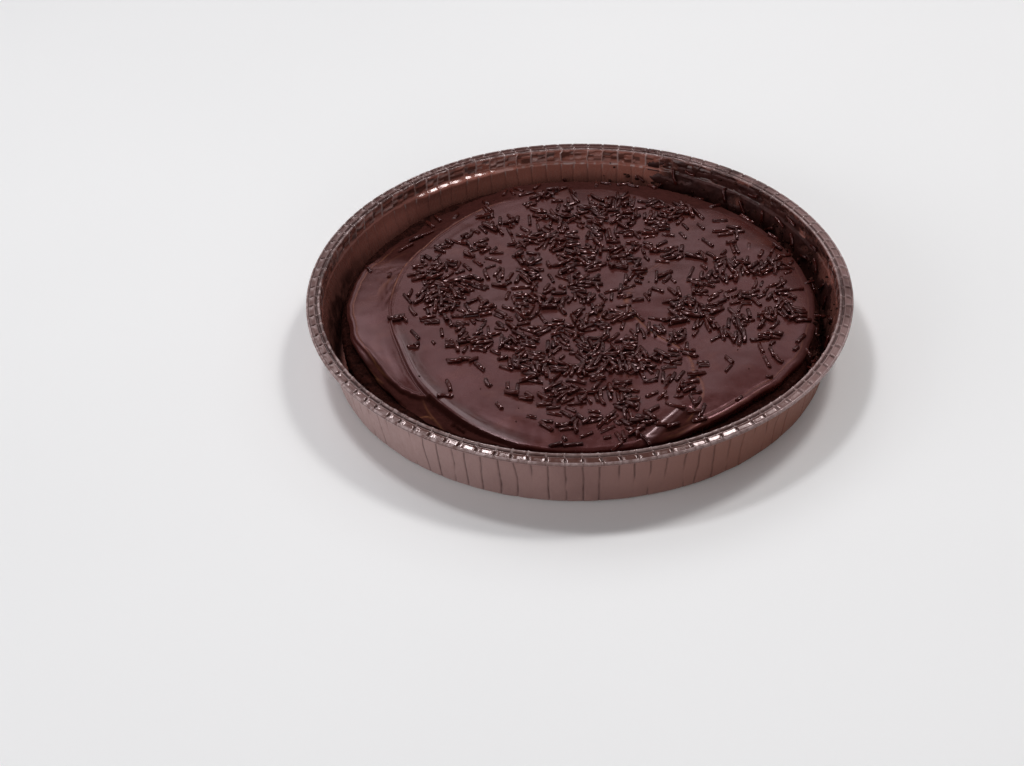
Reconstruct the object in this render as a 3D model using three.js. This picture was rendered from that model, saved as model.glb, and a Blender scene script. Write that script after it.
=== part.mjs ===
// Chocolate tart in its baking case, with its base on z = 0 and the case's axis on Z.
// A shallow pleated paper case with a rolled lip holds a low round chocolate cake,
// which has shrunk away from the wall all round, and a spread layer of ganache lies
// on the cake with its spatula strokes showing. Lengths are in millimetres, +Z is up.
import * as THREE from 'three';

// ---- driving dimensions ---------------------------------------------------
const RIM_R = 110.0;          // outer radius of the rolled lip
const RIM_TOP = 28.0;         // height of the lip's top above the base
const LIP_WIDTH = 5.9;        // lip's outer edge to the inside of the wall
const LIP_UNDER = 25.2;       // height of the lip's underside
const LEDGE_Z = 21.4;         // height of the stacking ledge round the inside of the wall
const LEDGE = 0.8;            // how far the wall steps in at that ledge
const WALL_TOP_R = 104.8;     // outside of the wall just under the lip
const BASE_R = 100.8;         // outside of the wall at the base
const BASE_CORNER = 1.8;      // height of the rounded bottom corner
const PAPER = 0.7;            // thickness of the pressed, pleated paper
const PLEATS = 102;           // pleats round the wall, one every 6.8 mm at the lip
const CREASE = 0.35;          // how far a pleat's crease lies below the wall's face
const KNOT = 0.35;            // how far the lip stands up at a pleat
const OUT_OF_ROUND = 0.35;    // slow waviness of the pressed paper

const CAKE_R = 97.5;          // cake at its widest, just below the shoulder
const CAKE_FOOT_R = 95.6;     // cake at the bottom
const CAKE_TOP = 15.4;        // top of the cake
const CAKE_SHOULDER = 2.9;    // height over which the cake's edge rounds off
const GAP = 0.3;              // clearance between one piece and the next

const GANACHE_R = 93.2;       // mean radius of the ganache
const GANACHE_TOP = 21.0;     // level of the ganache in the middle
const GANACHE_FALL = 3.0;     // how far its surface falls towards the edge
const FALL_WIDTH = 16.0;      // width of the band that falls
const EDGE_ROUND = 1.6;       // radius of the ganache's rounded edge
const RIDGE = 0.9;            // height of the long stroke's ridge
const SHELF = 0.7;            // drop from the ridge to the shelf outside it
const FOLD = 1.3;             // depth of the fold at the front right

const CASE_STEPS = PLEATS * 2;
const FOOD_STEPS = 90;

const TAU = Math.PI * 2;
const ease = (t) => { const c = Math.min(1, Math.max(0, t)); return c * c * (3 - 2 * c); };
const rad = (deg) => deg * Math.PI / 180;
// a smooth hump of height 1 round the angle deg, half as high at deg +- half
const hump = (a, deg, half) => {
  const d = Math.atan2(Math.sin(a - rad(deg)), Math.cos(a - rad(deg)));
  return Math.exp(-Math.LN2 * (d / rad(half)) ** 2);
};

// ---- closed body from a stack of rings -------------------------------------
// rings run from the middle of the underside, out, up and back to the middle of
// the top; ring(i, j) gives the point of ring i at step j.
function ringBody(ringCount, steps, ring, low, high) {
  const pos = [];
  for (let i = 0; i < ringCount; i++) {
    for (let j = 0; j < steps; j++) pos.push(...ring(i, j));
  }
  const lowAt = pos.length / 3; pos.push(...low);
  const highAt = pos.length / 3; pos.push(...high);
  const index = [];
  const at = (i, j) => i * steps + (j % steps);
  for (let j = 0; j < steps; j++) {
    index.push(lowAt, at(0, j + 1), at(0, j));
    index.push(highAt, at(ringCount - 1, j), at(ringCount - 1, j + 1));
  }
  for (let i = 0; i + 1 < ringCount; i++) {
    for (let j = 0; j < steps; j++) {
      index.push(at(i, j), at(i, j + 1), at(i + 1, j + 1));
      index.push(at(i, j), at(i + 1, j + 1), at(i + 1, j));
    }
  }
  const geometry = new THREE.BufferGeometry();
  geometry.setAttribute('position', new THREE.Float32BufferAttribute(pos, 3));
  geometry.setIndex(index);
  geometry.computeVertexNormals();
  return geometry;
}

// ---- paper case -------------------------------------------------------------
// Section of the case: radius, height, how much of the crease it takes, and how
// much of the pleat's knot.
const innerTop = RIM_R - LIP_WIDTH;
const section = [
  [BASE_R - 4.3, 0.0, 0.0, 0.0],
  [BASE_R - 1.0, 0.55, 0.3, 0.0],
  [BASE_R, BASE_CORNER, 1.0, 0.0],
  [WALL_TOP_R, LIP_UNDER - 1.0, 1.0, 0.0],
  [WALL_TOP_R + 3.0, LIP_UNDER, 0.2, 0.0],
  [RIM_R - 0.1, LIP_UNDER + 0.9, 0.0, 0.0],
  [RIM_R - 0.4, RIM_TOP - 0.8, 0.0, 0.3],
  [RIM_R - 2.3, RIM_TOP - 0.35, 0.0, 1.0],
  [RIM_R - 3.8, RIM_TOP - 1.3, 0.0, 0.6],
  [RIM_R - 5.1, RIM_TOP - 0.4, 0.0, 1.0],
  [innerTop, RIM_TOP - 1.2, -0.2, 0.2],
  [innerTop - 0.1, LEDGE_Z + 0.7, 0.3, 0.0],
  [innerTop - 0.1 - LEDGE, LEDGE_Z, 0.4, 0.0],
  [BASE_R - PAPER - 0.1, BASE_CORNER + 0.2, 0.5, 0.0],
  [BASE_R - 2.2, PAPER + 0.1, 0.1, 0.0],
];
const slowWave = (a) => OUT_OF_ROUND * (0.6 * Math.cos(2 * a + 0.7) + 0.5 * Math.cos(3 * a - 1.1)
  + 0.25 * Math.cos(5 * a + 2.0));
const casePoint = (i, j) => {
  const a = TAU * j / CASE_STEPS;
  const [r, z, crease, knot] = section[i];
  const onPleat = j % 2 === 0 ? 1 : 0;
  const wavy = ease(z / 20) * slowWave(a);
  const rr = Math.min(RIM_R, r + wavy - onPleat * crease * CREASE);
  return [rr * Math.cos(a), rr * Math.sin(a), z + onPleat * knot * KNOT];
};
const caseGeometry = ringBody(section.length, CASE_STEPS, casePoint, [0, 0, 0], [0, 0, PAPER]);

// ---- cake -------------------------------------------------------------------
const cakeWave = (a) => 0.35 * Math.cos(3 * a + 0.4) + 0.3 * Math.cos(5 * a - 1.3) + 0.2 * Math.cos(11 * a);
const cakeFloor = PAPER + GAP;
const cakeSection = [
  [CAKE_FOOT_R - 1.4, cakeFloor, 0.4],
  [CAKE_FOOT_R, cakeFloor + 1.4, 1.0],
  [CAKE_R, CAKE_TOP - CAKE_SHOULDER, 1.0],
  [CAKE_R - 0.8, CAKE_TOP - 1.1, 1.0],
  [CAKE_R - 2.9, CAKE_TOP, 1.0],
];
const cakePoint = (i, j) => {
  const a = TAU * j / FOOD_STEPS;
  const [r, z, wave] = cakeSection[i];
  const rr = r + wave * cakeWave(a);
  return [rr * Math.cos(a), rr * Math.sin(a), z];
};
const cakeGeometry = ringBody(cakeSection.length, FOOD_STEPS, cakePoint,
  [0, 0, cakeFloor], [0, 0, CAKE_TOP]);

// ---- ganache ----------------------------------------------------------------
// Outline of the ganache: nearly round, a little wide to the left and right and
// drawn in at the front right.
const ganacheEdge = (a) => GANACHE_R + 1.0 * Math.cos(2 * a) + 0.4 * Math.cos(a)
  - 1.4 * hump(a, -52, 18) + 0.25 * Math.cos(7 * a + 0.9);

// The long spatula stroke leaves a ridge on an arc about a centre right of the
// middle: from the back, round the left, to the front.
const ARC = { x: 11.0, y: -9.0, r: 85.0, from: 114, to: 251 };
// The second stroke turns from the middle down to the front right, then back in.
const SWEEP = { x: -12.0, y: -48.0, r: 56.0, from: -42, to: 58 };
// Distance outward from a stroke's arc, and how much of the stroke is there.
const fromArc = (arc, x, y) => Math.hypot(x - arc.x, y - arc.y) - arc.r;
const along = (arc, x, y, fade) => {
  let deg = Math.atan2(y - arc.y, x - arc.x) * 180 / Math.PI;
  while (deg < arc.from - 60) deg += 360;
  while (deg > arc.to + 60) deg -= 360;
  return ease((deg - arc.from) / fade + 0.5) * ease((arc.to - deg) / fade + 0.5);
};
function ganacheTop(x, y) {
  const a = Math.atan2(y, x);
  const d = Math.max(0, ganacheEdge(a) - Math.hypot(x, y));
  let h = GANACHE_TOP - GANACHE_FALL * (1 - Math.min(1, d / FALL_WIDTH)) ** 2;
  const s = fromArc(ARC, x, y);
  const w = along(ARC, x, y, 14);
  const inner = Math.exp(-((s / 5.0) ** 2));
  const outer = Math.exp(-((s / 2.5) ** 2));
  h += w * RIDGE * (s < 0 ? inner : outer);
  h -= w * SHELF * ease(s / 3.0) * ease(d / 5.0);
  const s2 = fromArc(SWEEP, x, y);
  const w2 = along(SWEEP, x, y, 12);
  h += w2 * 0.45 * Math.exp(-((s2 / 3.5) ** 2));
  h -= w2 * FOLD * 0.8 * hump(Math.atan2(y - SWEEP.y, x - SWEEP.x), -22, 14) * Math.exp(-(((s2 - 3.5) / 3.0) ** 2));
  h += 0.18 * Math.sin(x / 17 + 0.6) * Math.cos(y / 21 - 0.4);
  return h;
}
// rings: underside, side, rounded edge, then the top's rings inward
const topShare = [0.985, 0.955, 0.915, 0.87, 0.825, 0.775, 0.72, 0.65, 0.55, 0.42, 0.25];
const under = CAKE_TOP + GAP;
const ganachePoint = (i, j) => {
  const a = TAU * j / FOOD_STEPS;
  const c = Math.cos(a), s = Math.sin(a);
  const edge = ganacheEdge(a);
  if (i === 0) return [(edge - 0.9) * c, (edge - 0.9) * s, under];
  if (i === 1) return [edge * c, edge * s, under + 0.7];
  if (i === 2) return [edge * c, edge * s, GANACHE_TOP - GANACHE_FALL - EDGE_ROUND * 0.75];
  const r = edge * topShare[i - 3];
  const x = r * c, y = r * s;
  return [x, y, ganacheTop(x, y) - (i === 3 ? EDGE_ROUND * 0.15 : 0)];
};
const ganacheGeometry = ringBody(3 + topShare.length, FOOD_STEPS, ganachePoint,
  [0, 0, under], [0, 0, ganacheTop(0, 0)]);

// ---- the group --------------------------------------------------------------
const group = new THREE.Group();
const add = (name, geometry, color, roughness) => {
  const mesh = new THREE.Mesh(geometry, new THREE.MeshStandardMaterial({ color, roughness, metalness: 0 }));
  mesh.name = name;
  group.add(mesh);
};
add('paper_case', caseGeometry, 0x4a2e28, 0.6);
add('cake_base', cakeGeometry, 0x22110e, 0.95);
add('ganache', ganacheGeometry, 0x38201c, 0.3);

export default group;
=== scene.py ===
import math

import bpy
import numpy as np
from mathutils import Matrix, Vector


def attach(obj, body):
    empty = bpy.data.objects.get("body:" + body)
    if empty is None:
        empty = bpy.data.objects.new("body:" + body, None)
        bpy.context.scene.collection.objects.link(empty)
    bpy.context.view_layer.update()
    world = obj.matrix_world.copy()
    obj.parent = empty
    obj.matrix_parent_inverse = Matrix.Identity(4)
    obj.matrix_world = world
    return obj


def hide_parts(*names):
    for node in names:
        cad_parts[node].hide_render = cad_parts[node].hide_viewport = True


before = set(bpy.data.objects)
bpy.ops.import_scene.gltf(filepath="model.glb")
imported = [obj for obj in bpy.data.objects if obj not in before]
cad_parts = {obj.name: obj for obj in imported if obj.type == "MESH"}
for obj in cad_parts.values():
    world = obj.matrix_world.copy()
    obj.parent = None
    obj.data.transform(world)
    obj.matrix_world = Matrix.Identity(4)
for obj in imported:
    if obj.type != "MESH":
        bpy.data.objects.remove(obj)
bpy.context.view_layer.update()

MM = 0.001
TAU = 2.0 * math.pi
SEED = 20411


# ---------------------------------------------------------------------------
# camera: solved from the rim, the base and the board's edges
# ---------------------------------------------------------------------------
def make_camera():
    R = 0.110
    e, roll, D, tx, ty, f = 0.6712, -0.0362, 7.4100, 0.25076, 0.16122, 1974.97
    fwd = Vector((0.0, math.cos(e), -math.sin(e)))
    right0 = Vector((1.0, 0.0, 0.0))
    up0 = Vector((0.0, math.sin(e), math.cos(e)))
    r = right0 * math.cos(roll) + up0 * math.sin(roll)
    u = up0 * math.cos(roll) - right0 * math.sin(roll)
    c = (r * -tx + u * -ty + fwd * -D) * R
    data = bpy.data.cameras.new("view_camera")
    data.sensor_fit = "HORIZONTAL"
    data.sensor_width = 36.0
    data.lens = 36.0 * f / 1024.0
    data.clip_start = 0.01
    data.clip_end = 60.0
    data.dof.use_dof = False
    cam = bpy.data.objects.new("view_camera", data)
    bpy.context.scene.collection.objects.link(cam)
    cam.matrix_world = Matrix((
        (r.x, u.x, -fwd.x, c.x),
        (r.y, u.y, -fwd.y, c.y),
        (r.z, u.z, -fwd.z, c.z),
        (0.0, 0.0, 0.0, 1.0)))
    bpy.context.scene.camera = cam
    return cam


make_camera()


# ---------------------------------------------------------------------------
# small tools
# ---------------------------------------------------------------------------
def ease(t):
    t = np.clip(t, 0.0, 1.0)
    return t * t * (3.0 - 2.0 * t)


def bell(x, w):
    return np.exp(-(np.asarray(x, float) / w) ** 2)


def hash01(ix, iy, iz=0, seed=0):
    """A fixed random number in 0..1 for each lattice point."""
    n = (np.asarray(ix).astype(np.int64) * 374761393
         + np.asarray(iy).astype(np.int64) * 668265263
         + np.asarray(iz).astype(np.int64) * 2147483647 // 7
         + int(seed) * 1274126177) & 0x7FFFFFFF
    n = ((n ^ (n >> 13)) * 1274126177) & 0x7FFFFFFF
    n = ((n ^ (n >> 16)) * 668265263) & 0x7FFFFFFF
    n = n ^ (n >> 15)
    return (n & 0xFFFFFF) / float(0x1000000)


def vnoise(x, y, seed=0):
    """Smooth value noise in -1..1."""
    x = np.asarray(x, float)
    y = np.asarray(y, float)
    ix, iy = np.floor(x), np.floor(y)
    fx, fy = ease(x - ix), ease(y - iy)
    a = hash01(ix, iy, 0, seed)
    b = hash01(ix + 1, iy, 0, seed)
    c = hash01(ix, iy + 1, 0, seed)
    d = hash01(ix + 1, iy + 1, 0, seed)
    return 2.0 * ((a * (1 - fx) + b * fx) * (1 - fy) + (c * (1 - fx) + d * fx) * fy) - 1.0


def fbm(x, y, octaves=4, seed=0):
    total, amp, norm = 0.0, 1.0, 0.0
    for o in range(octaves):
        total = total + amp * vnoise(x * 2.03 ** o + 11.3 * o, y * 2.03 ** o - 7.7 * o, seed + 31 * o)
        norm += amp
        amp *= 0.5
    return total / norm


def vnoise3(x, y, z, seed=0):
    ix, iy, iz = np.floor(x), np.floor(y), np.floor(z)
    fx, fy, fz = ease(x - ix), ease(y - iy), ease(z - iz)
    out = 0.0
    for dx in (0, 1):
        for dy in (0, 1):
            for dz in (0, 1):
                w = (fx if dx else 1 - fx) * (fy if dy else 1 - fy) * (fz if dz else 1 - fz)
                out = out + w * hash01(ix + dx, iy + dy, (iz + dz) * 7919, seed)
    return 2.0 * out - 1.0


def mesh_object(name, verts_mm, faces, smooth=True, attributes=None):
    mesh = bpy.data.meshes.new(name)
    v = np.asarray(verts_mm, float) * MM
    f = [np.asarray(q, np.int64) for q in faces if len(q)]
    counts = np.concatenate([np.full(len(q), q.shape[1]) for q in f])
    loops = np.concatenate([q.reshape(-1) for q in f])
    mesh.vertices.add(len(v))
    mesh.vertices.foreach_set("co", v.astype(np.float32).reshape(-1))
    mesh.loops.add(len(loops))
    mesh.loops.foreach_set("vertex_index", loops.astype(np.int32))
    mesh.polygons.add(len(counts))
    starts = np.concatenate([[0], np.cumsum(counts)[:-1]])
    mesh.polygons.foreach_set("loop_start", starts.astype(np.int32))
    mesh.polygons.foreach_set("loop_total", counts.astype(np.int32))
    mesh.update(calc_edges=True)
    mesh.validate()
    flags = np.full(len(mesh.polygons), smooth, bool) if isinstance(smooth, bool) else np.asarray(smooth, bool)
    mesh.polygons.foreach_set("use_smooth", flags)
    for key, value in (attributes or {}).items():
        att = mesh.attributes.new(key, "FLOAT", "POINT")
        att.data.foreach_set("value", np.asarray(value, np.float32).reshape(-1))
    mesh.update()
    obj = bpy.data.objects.new(name, mesh)
    bpy.context.scene.collection.objects.link(obj)
    return obj


def ring_faces(n_rings, n_steps, low=None, high=None):
    """Quads between rings laid out row by row, and fans to a low and a high middle point."""
    i = np.arange(n_rings - 1)[:, None]
    j = np.arange(n_steps)[None, :]
    j2 = (j + 1) % n_steps
    quads = np.stack([i * n_steps + j, i * n_steps + j2, (i + 1) * n_steps + j2, (i + 1) * n_steps + j], -1).reshape(-1, 4)
    tris = []
    jj = np.arange(n_steps)
    if low is not None:
        tris.append(np.stack([np.full(n_steps, low), (jj + 1) % n_steps, jj], -1))
    if high is not None:
        top = (n_rings - 1) * n_steps
        tris.append(np.stack([np.full(n_steps, high), top + jj, top + (jj + 1) % n_steps], -1))
    return [quads] + tris


def curve_through(points, per=12):
    """A smooth line through given points (Catmull-Rom)."""
    p = np.asarray(points, float)
    p = np.vstack([2 * p[0] - p[1], p, 2 * p[-1] - p[-2]])
    out = []
    t = np.arange(per) / per
    for k in range(1, len(p) - 2):
        a, b, c, d = p[k - 1], p[k], p[k + 1], p[k + 2]
        for s in t:
            out.append(0.5 * ((2 * b) + (c - a) * s + (2 * a - 5 * b + 4 * c - d) * s * s
                              + (3 * b - a - 3 * c + d) * s ** 3))
    out.append(p[-2])
    return np.array(out)


def to_line(line, x, y):
    """Signed distance from a line (positive to the right of its direction) and the share of its length."""
    x = np.asarray(x, float).reshape(-1)
    y = np.asarray(y, float).reshape(-1)
    a, b = line[:-1], line[1:]
    seg = b - a
    ln = np.hypot(seg[:, 0], seg[:, 1])
    cum = np.concatenate([[0], np.cumsum(ln)])
    best = np.full(x.shape, 1e9)
    side = np.zeros(x.shape)
    share = np.zeros(x.shape)
    for k in range(len(seg)):
        ux, uy = seg[k] / ln[k]
        rx, ry = x - a[k, 0], y - a[k, 1]
        t = np.clip(rx * ux + ry * uy, 0, ln[k])
        dx, dy = rx - t * ux, ry - t * uy
        d = np.hypot(dx, dy)
        m = d < best
        best = np.where(m, d, best)
        side = np.where(m, np.where(rx * uy - ry * ux >= 0, 1.0, -1.0), side)
        share = np.where(m, (cum[k] + t) / cum[-1], share)
    return best * side, share


def around(table, a_deg):
    """Smooth periodic value round the compass from {degrees: value}."""
    keys = np.array(sorted(table))
    vals = np.array([table[k] for k in keys], float)
    kk = np.concatenate([keys - 360, keys, keys + 360])
    vv = np.concatenate([vals, vals, vals])
    a = (np.asarray(a_deg, float) + 180.0) % 360.0 - 180.0
    i = np.clip(np.searchsorted(kk, a) - 1, 0, len(kk) - 2)
    t = ease((a - kk[i]) / (kk[i + 1] - kk[i]))
    return vv[i] * (1 - t) + vv[i + 1] * t


# ---------------------------------------------------------------------------
# paper case
# ---------------------------------------------------------------------------
PLEATS = 102
RIM_R, WALL_TOP_R, BASE_R = 110.0, 104.8, 100.8
SHARES = np.array([0.0, 0.034, 0.082, 0.15, 0.26, 0.39, 0.5, 0.61, 0.74, 0.85, 0.918, 0.966])


def slow_wave(a):
    return 0.35 * (0.6 * np.cos(2 * a + 0.7) + 0.5 * np.cos(3 * a - 1.1) + 0.25 * np.cos(5 * a + 2.0))


def wall_in_r(z):
    """Radius of the inside of the wall below the stacking ledge."""
    return 103.05 - (20.3 - np.asarray(z, float)) * 0.179


def build_case():
    rng = np.random.default_rng(SEED + 1)
    # rows: r, z, then how much of each feature the row takes
    #   c crease, n notch between cells, e raised cell end, k knot, x cross bar in the groove,
    #   f fold on the inside, s scallop of the ledge, b brick-like crumples, q soft crease below the ledge
    rows = []

    def row(r, z, gloss=0.0, **kw):
        rows.append((r, z, gloss, kw))

    row(30, 0.0); row(72, 0.0); row(92, 0.0)
    row(97.2, 0.02); row(98.9, 0.16, c=0.2); row(99.9, 0.52, c=0.5); row(100.5, 1.1, c=0.8); row(BASE_R, 1.8, c=1.0)
    for z in (3.0, 4.6, 6.4, 8.3, 10.2, 12.1, 14.0, 15.9, 17.8, 19.7, 21.5, 23.0, 24.1):
        row(BASE_R + (z - 1.8) * (WALL_TOP_R - BASE_R) / (24.2 - 1.8), z, c=1.0)
    row(105.2, 24.75, 0.1, c=0.8); row(106.3, 25.1, 0.2, c=0.5); row(107.8, 25.25, 0.3, c=0.25)
    row(109.0, 25.4, 0.4, c=0.2); row(109.65, 25.72, 0.5, c=0.15); row(109.95, 26.2, 0.6, o=0.6)
    row(110.0, 26.68, 0.8, o=1.0, w=0.5); row(109.88, 27.06, 1.0, o=1.0, w=0.9); row(109.62, 27.34, 1.0, o=1.0, w=1.0)
    row(109.32, 27.42, 1.0, o=1.0, w=1.0); row(109.12, 27.24, 1.0, o=0.8, n=0.4, w=0.5); row(108.98, 26.86, 1.0, n=0.8, e=0.7, d=0.8)
    row(108.80, 26.78, 1.0, n=1.0, e=1.0, cell=-1.0); row(108.3, 26.942, 1.0, n=1.0, e=0.9, cell=-0.5)
    row(107.8, 27.105, 1.0, n=1.0, e=0.8, cell=0.0); row(107.3, 27.268, 1.0, n=1.0, e=0.8, cell=0.5)
    row(107.0, 27.365, 1.0, n=0.9, e=0.6, cell=0.8)
    row(106.84, 27.52, 1.0, k=0.2, n=0.3, w=0.2); row(106.64, 27.62, 1.0, k=0.4, w=0.35); row(106.42, 27.46, 1.0, k=0.4, w=0.2)
    row(106.18, 26.92, 1.0, x=1.0, d=0.8); row(105.87, 26.56, 1.0, x=1.0, d=1.0); row(105.56, 26.84, 1.0, x=0.9, d=0.8)
    row(105.3, 27.42, 1.0, k=0.8, w=0.4); row(105.02, 27.74, 1.0, k=1.0, w=1.0); row(104.70, 27.82, 1.0, k=1.0, w=1.0)
    row(104.38, 27.62, 1.0, k=0.9, w=0.6); row(104.16, 27.2, 1.0, k=0.6, f=0.3)
    for z in (26.75, 26.25, 25.75, 25.25, 24.75, 24.25, 23.75, 23.25, 22.8):
        row(104.12, z, 0.9, f=1.0, b=min(1.0, (27.1 - z) / 0.8))
    row(104.10, 22.46, 1.0, f=0.8, s=0.7, b=0.3, l=0.0); row(103.98, 22.21, 1.0, f=0.3, s=1.0, l=0.1)
    row(103.50, 21.955, 1.0, f=0.1, s=1.0, l=0.4); row(103.0, 21.69, 1.0, s=1.0, l=0.8); row(102.56, 21.46, 1.0, s=1.0, q=0.3, l=1.2)
    row(102.38, 21.2, 1.0, s=0.9, q=0.7, l=1.4); row(102.34, 20.6, 0.8, s=0.5, q=1.0, l=1.35); row(102.42, 19.6, 0.75, q=1.0, l=1.05)
    for z, gone in ((18.2, 0.62), (16.6, 0.36), (14.8, 0.15), (12.6, 0.03), (10.0, 0.0), (7.4, 0.0), (5.2, 0.0), (3.7, 0.0)):
        row(float(wall_in_r(z)), z, 0.7, q=1.0, l=gone)
    row(99.75, 2.6, 0.7, q=0.6); row(99.2, 1.7, 0.7); row(98.3, 1.05, 0.7); row(96.8, 0.75, 0.6)
    row(84, 0.7, 0.6); row(40, 0.7, 0.6)

    def coef(key):
        return np.array([kw.get(key, 0.0) for _, _, _, kw in rows])[:, None]

    base_r = np.array([q[0] for q in rows])[:, None]
    base_z = np.array([q[1] for q in rows])[:, None]
    gloss = np.array([q[2] for q in rows])[:, None]
    n_rows = len(rows)
    first_in = min(i for i, q in enumerate(rows) if q[3].get("f", 0) > 0)
    last_out = max(i for i, q in enumerate(rows) if q[3].get("c", 0) > 0)
    within = (np.arange(n_rows) >= first_in)[:, None]
    outside = (np.arange(n_rows) <= last_out)[:, None]
    per = len(SHARES)
    k = np.repeat(np.arange(PLEATS), per)[None, :]
    t = np.tile(SHARES, PLEATS)[None, :]
    k2 = (k + 1) % PLEATS
    # where each pleat's crease runs
    at = (np.arange(PLEATS) + rng.uniform(-0.09, 0.09, PLEATS)) * TAU / PLEATS
    pitch = TAU * 107.0 / PLEATS
    slant = rng.normal(0.25, 0.70, PLEATS)
    lip_slant = rng.normal(0.10, 0.12, PLEATS)
    wob_a, wob_p = rng.uniform(0.05, 0.34, PLEATS), rng.uniform(0, TAU, PLEATS)
    kink_z, kink = rng.uniform(6.0, 20.0, PLEATS), rng.normal(0.0, 0.30, PLEATS)

    def crease_angle(kk):
        z = base_z
        on_wall = (1.0 - ease((z - 24.0) / 1.2)) * (base_r > 100.0 - 1e-6)
        shift = slant[kk] * (24.0 - np.minimum(z, 24.0)) / 24.0 * on_wall
        shift = shift + wob_a[kk] * np.sin(z / 24.0 * 7.0 + wob_p[kk]) * on_wall
        shift = shift + kink[kk] * ease((kink_z[kk] - z) / 1.8) * on_wall
        shift = shift + 0.20 * vnoise(z / 2.6 + 3.7 * kk, 0.5 + 0 * z + kk, 6) * on_wall
        lip = ease((z - 26.3) / 0.4) * (base_r > 103.9)
        shift = shift + lip_slant[kk] * (base_r - 107.0) * lip
        return at[kk] + shift / 105.0

    a0 = crease_angle(k)
    a1 = crease_angle(k2)
    a1 = np.where(k2 == 0, a1 + TAU, a1)
    a = a0 + (a1 - a0) * t
    near = np.where(t < 0.5, t, t - 1.0)
    owner = np.where(t < 0.5, k, k2)
    s = near * pitch + 0 * base_z
    mid = 4.0 * t * (1.0 - t)
    deg = np.degrees(a) % 360.0

    # how far down the wall each crease reaches
    kind = rng.random(PLEATS)
    reach = np.where(kind < 0.60, 30.0, rng.uniform(8.0, 18.0, PLEATS))
    restart = np.where((kind > 0.60) & (kind < 0.86), rng.uniform(4.0, 11.0, PLEATS), -5.0)
    start = np.where(kind > 0.95, 9.0, 0.0)
    strength = rng.uniform(0.74, 1.0, PLEATS)
    az = np.degrees(at) % 360.0
    strength = strength * (0.34 + 0.66 * np.clip(np.cos(np.radians(az - 222.0)) * 0.9 + 0.45, 0, 1))
    down = 24.6 - base_z
    mask = ease((reach[owner] - down) / 4.0) * ease((down - start[owner]) / 3.0 + (start[owner] < 1))
    mask = np.maximum(mask, 0.75 * ease((restart[owner] - base_z) / 2.0))
    mask = mask * strength[owner]

    r = base_r + ease(base_z / 20.0) * slow_wave(a)
    z = base_z + 0 * a
    # the wall outside: sharp creases, panels that stand out a little, one edge lapped over the next
    groove = bell(s, 0.22)
    lap = np.where(s >= 0, 1.0, 0.0) * np.exp(-np.abs(s) / 1.1)
    r = r - coef("c") * mask * (0.55 * groove)
    r = r + coef("c") * mask * 0.15 * lap
    r = r + coef("c") * (0.10 * mid - 0.05) * strength[owner]
    r = r + coef("c") * 0.16 * vnoise(deg / 3.1, base_z / 9.0 + 40, 5)
    # outer edge of the lip
    edge_dip = bell(s, 0.26)
    r = r - coef("o") * 0.20 * edge_dip
    z = z - coef("o") * 0.26 * edge_dip
    # cells of the lip
    lift = rng.normal(0.0, 0.055, PLEATS)
    tilt = rng.normal(0.0, 0.045, PLEATS)
    twist = rng.normal(0.0, 0.10, PLEATS)
    cell_id = k
    # the paper's layers lap at each pleat: a raised rounded end on one side, strongest at the left
    lw = np.clip(np.cos(np.radians(deg - 172.0)) * 1.3, 0, 1)
    lw = np.maximum(lw, 0.6 * np.clip(np.cos(np.radians(deg - 15.0)) * 2.2 - 1.0, 0, 1))
    lapped = 0.30 + 0.70 * lw
    across = np.clip((base_r - 107.9) / 1.1, -1, 1)
    arc_s = s - 0.75 - 0.62 * lw + (lapped + 0.5 * lw) * 0.85 * across ** 2
    arc = bell(arc_s, 0.30 + 0.26 * lw) * lapped
    z = z + coef("e") * ((0.40 + 0.22 * lw) * arc + 0.12 * bell(s + 0.6, 0.24)) - coef("n") * 0.62 * bell(s, 0.24 + 0.26 * lw)
    z = z + coef("e") * (lift[cell_id] + tilt[cell_id] * coef("cell") + twist[cell_id] * (t - 0.5)) * ease((np.abs(s) - 0.35) / 0.5)
    wrinkled = np.clip(np.cos(np.radians(deg - 150.0)) + 0.1, 0, 1)
    z = z + coef("e") * 0.14 * wrinkled * vnoise(deg * 1.45, base_r * 1.9, 8) * ease((np.abs(s) - 0.3) / 0.4)
    # groove, cross bars, bead and its knots; at the left the groove is nearly closed
    z = z + coef("x") * 0.72 * bell(s, 0.27)
    knot = rng.uniform(0.12, 0.36, PLEATS)
    z = z + coef("k") * knot[owner] * bell(s, 0.36)
    z = z + coef("k") * (0.06 + 0.20 * wrinkled) * vnoise(deg * 1.1, base_r * 0.7, 9)
    r = r + coef("k") * 0.22 * wrinkled * vnoise(deg * 0.8, 5.0 + 0 * base_r, 10)
    z = z + 0.13 * ease((base_z - 24.5) / 1.5) * (vnoise(deg / 21.0, 0.3 + 0 * base_z, 12) + 0.5 * vnoise(deg / 7.0, 3.3 + 0 * base_z, 13))
    # inside below the bead: crumpled layers with upright folds
    fold_on = np.where(rng.random(PLEATS) < 0.62, rng.uniform(0.6, 1.0, PLEATS), rng.uniform(0.1, 0.3, PLEATS))
    r = r - coef("f") * 0.55 * fold_on[owner] * bell(s, 0.28)
    panel = k * 2 + (t >= 0.30 + 0.4 * hash01(k, 2, 0, 16)).astype(int)
    level = np.floor((base_z + 0.9 * hash01(panel, 3, 0, 17) + 0.45 * vnoise(deg / 1.9, 4.4 + 0 * base_z, 18)) / (0.8 + 0.6 * hash01(panel, 4, 0, 17)))
    brick = hash01(panel, level, 0, 19) - 0.5
    r = r + coef("b") * (0.80 * brick + 0.26 * vnoise(deg * 0.9, base_z * 1.1, 21)) * ease((np.abs(s) - 0.2) / 0.4)
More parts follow.
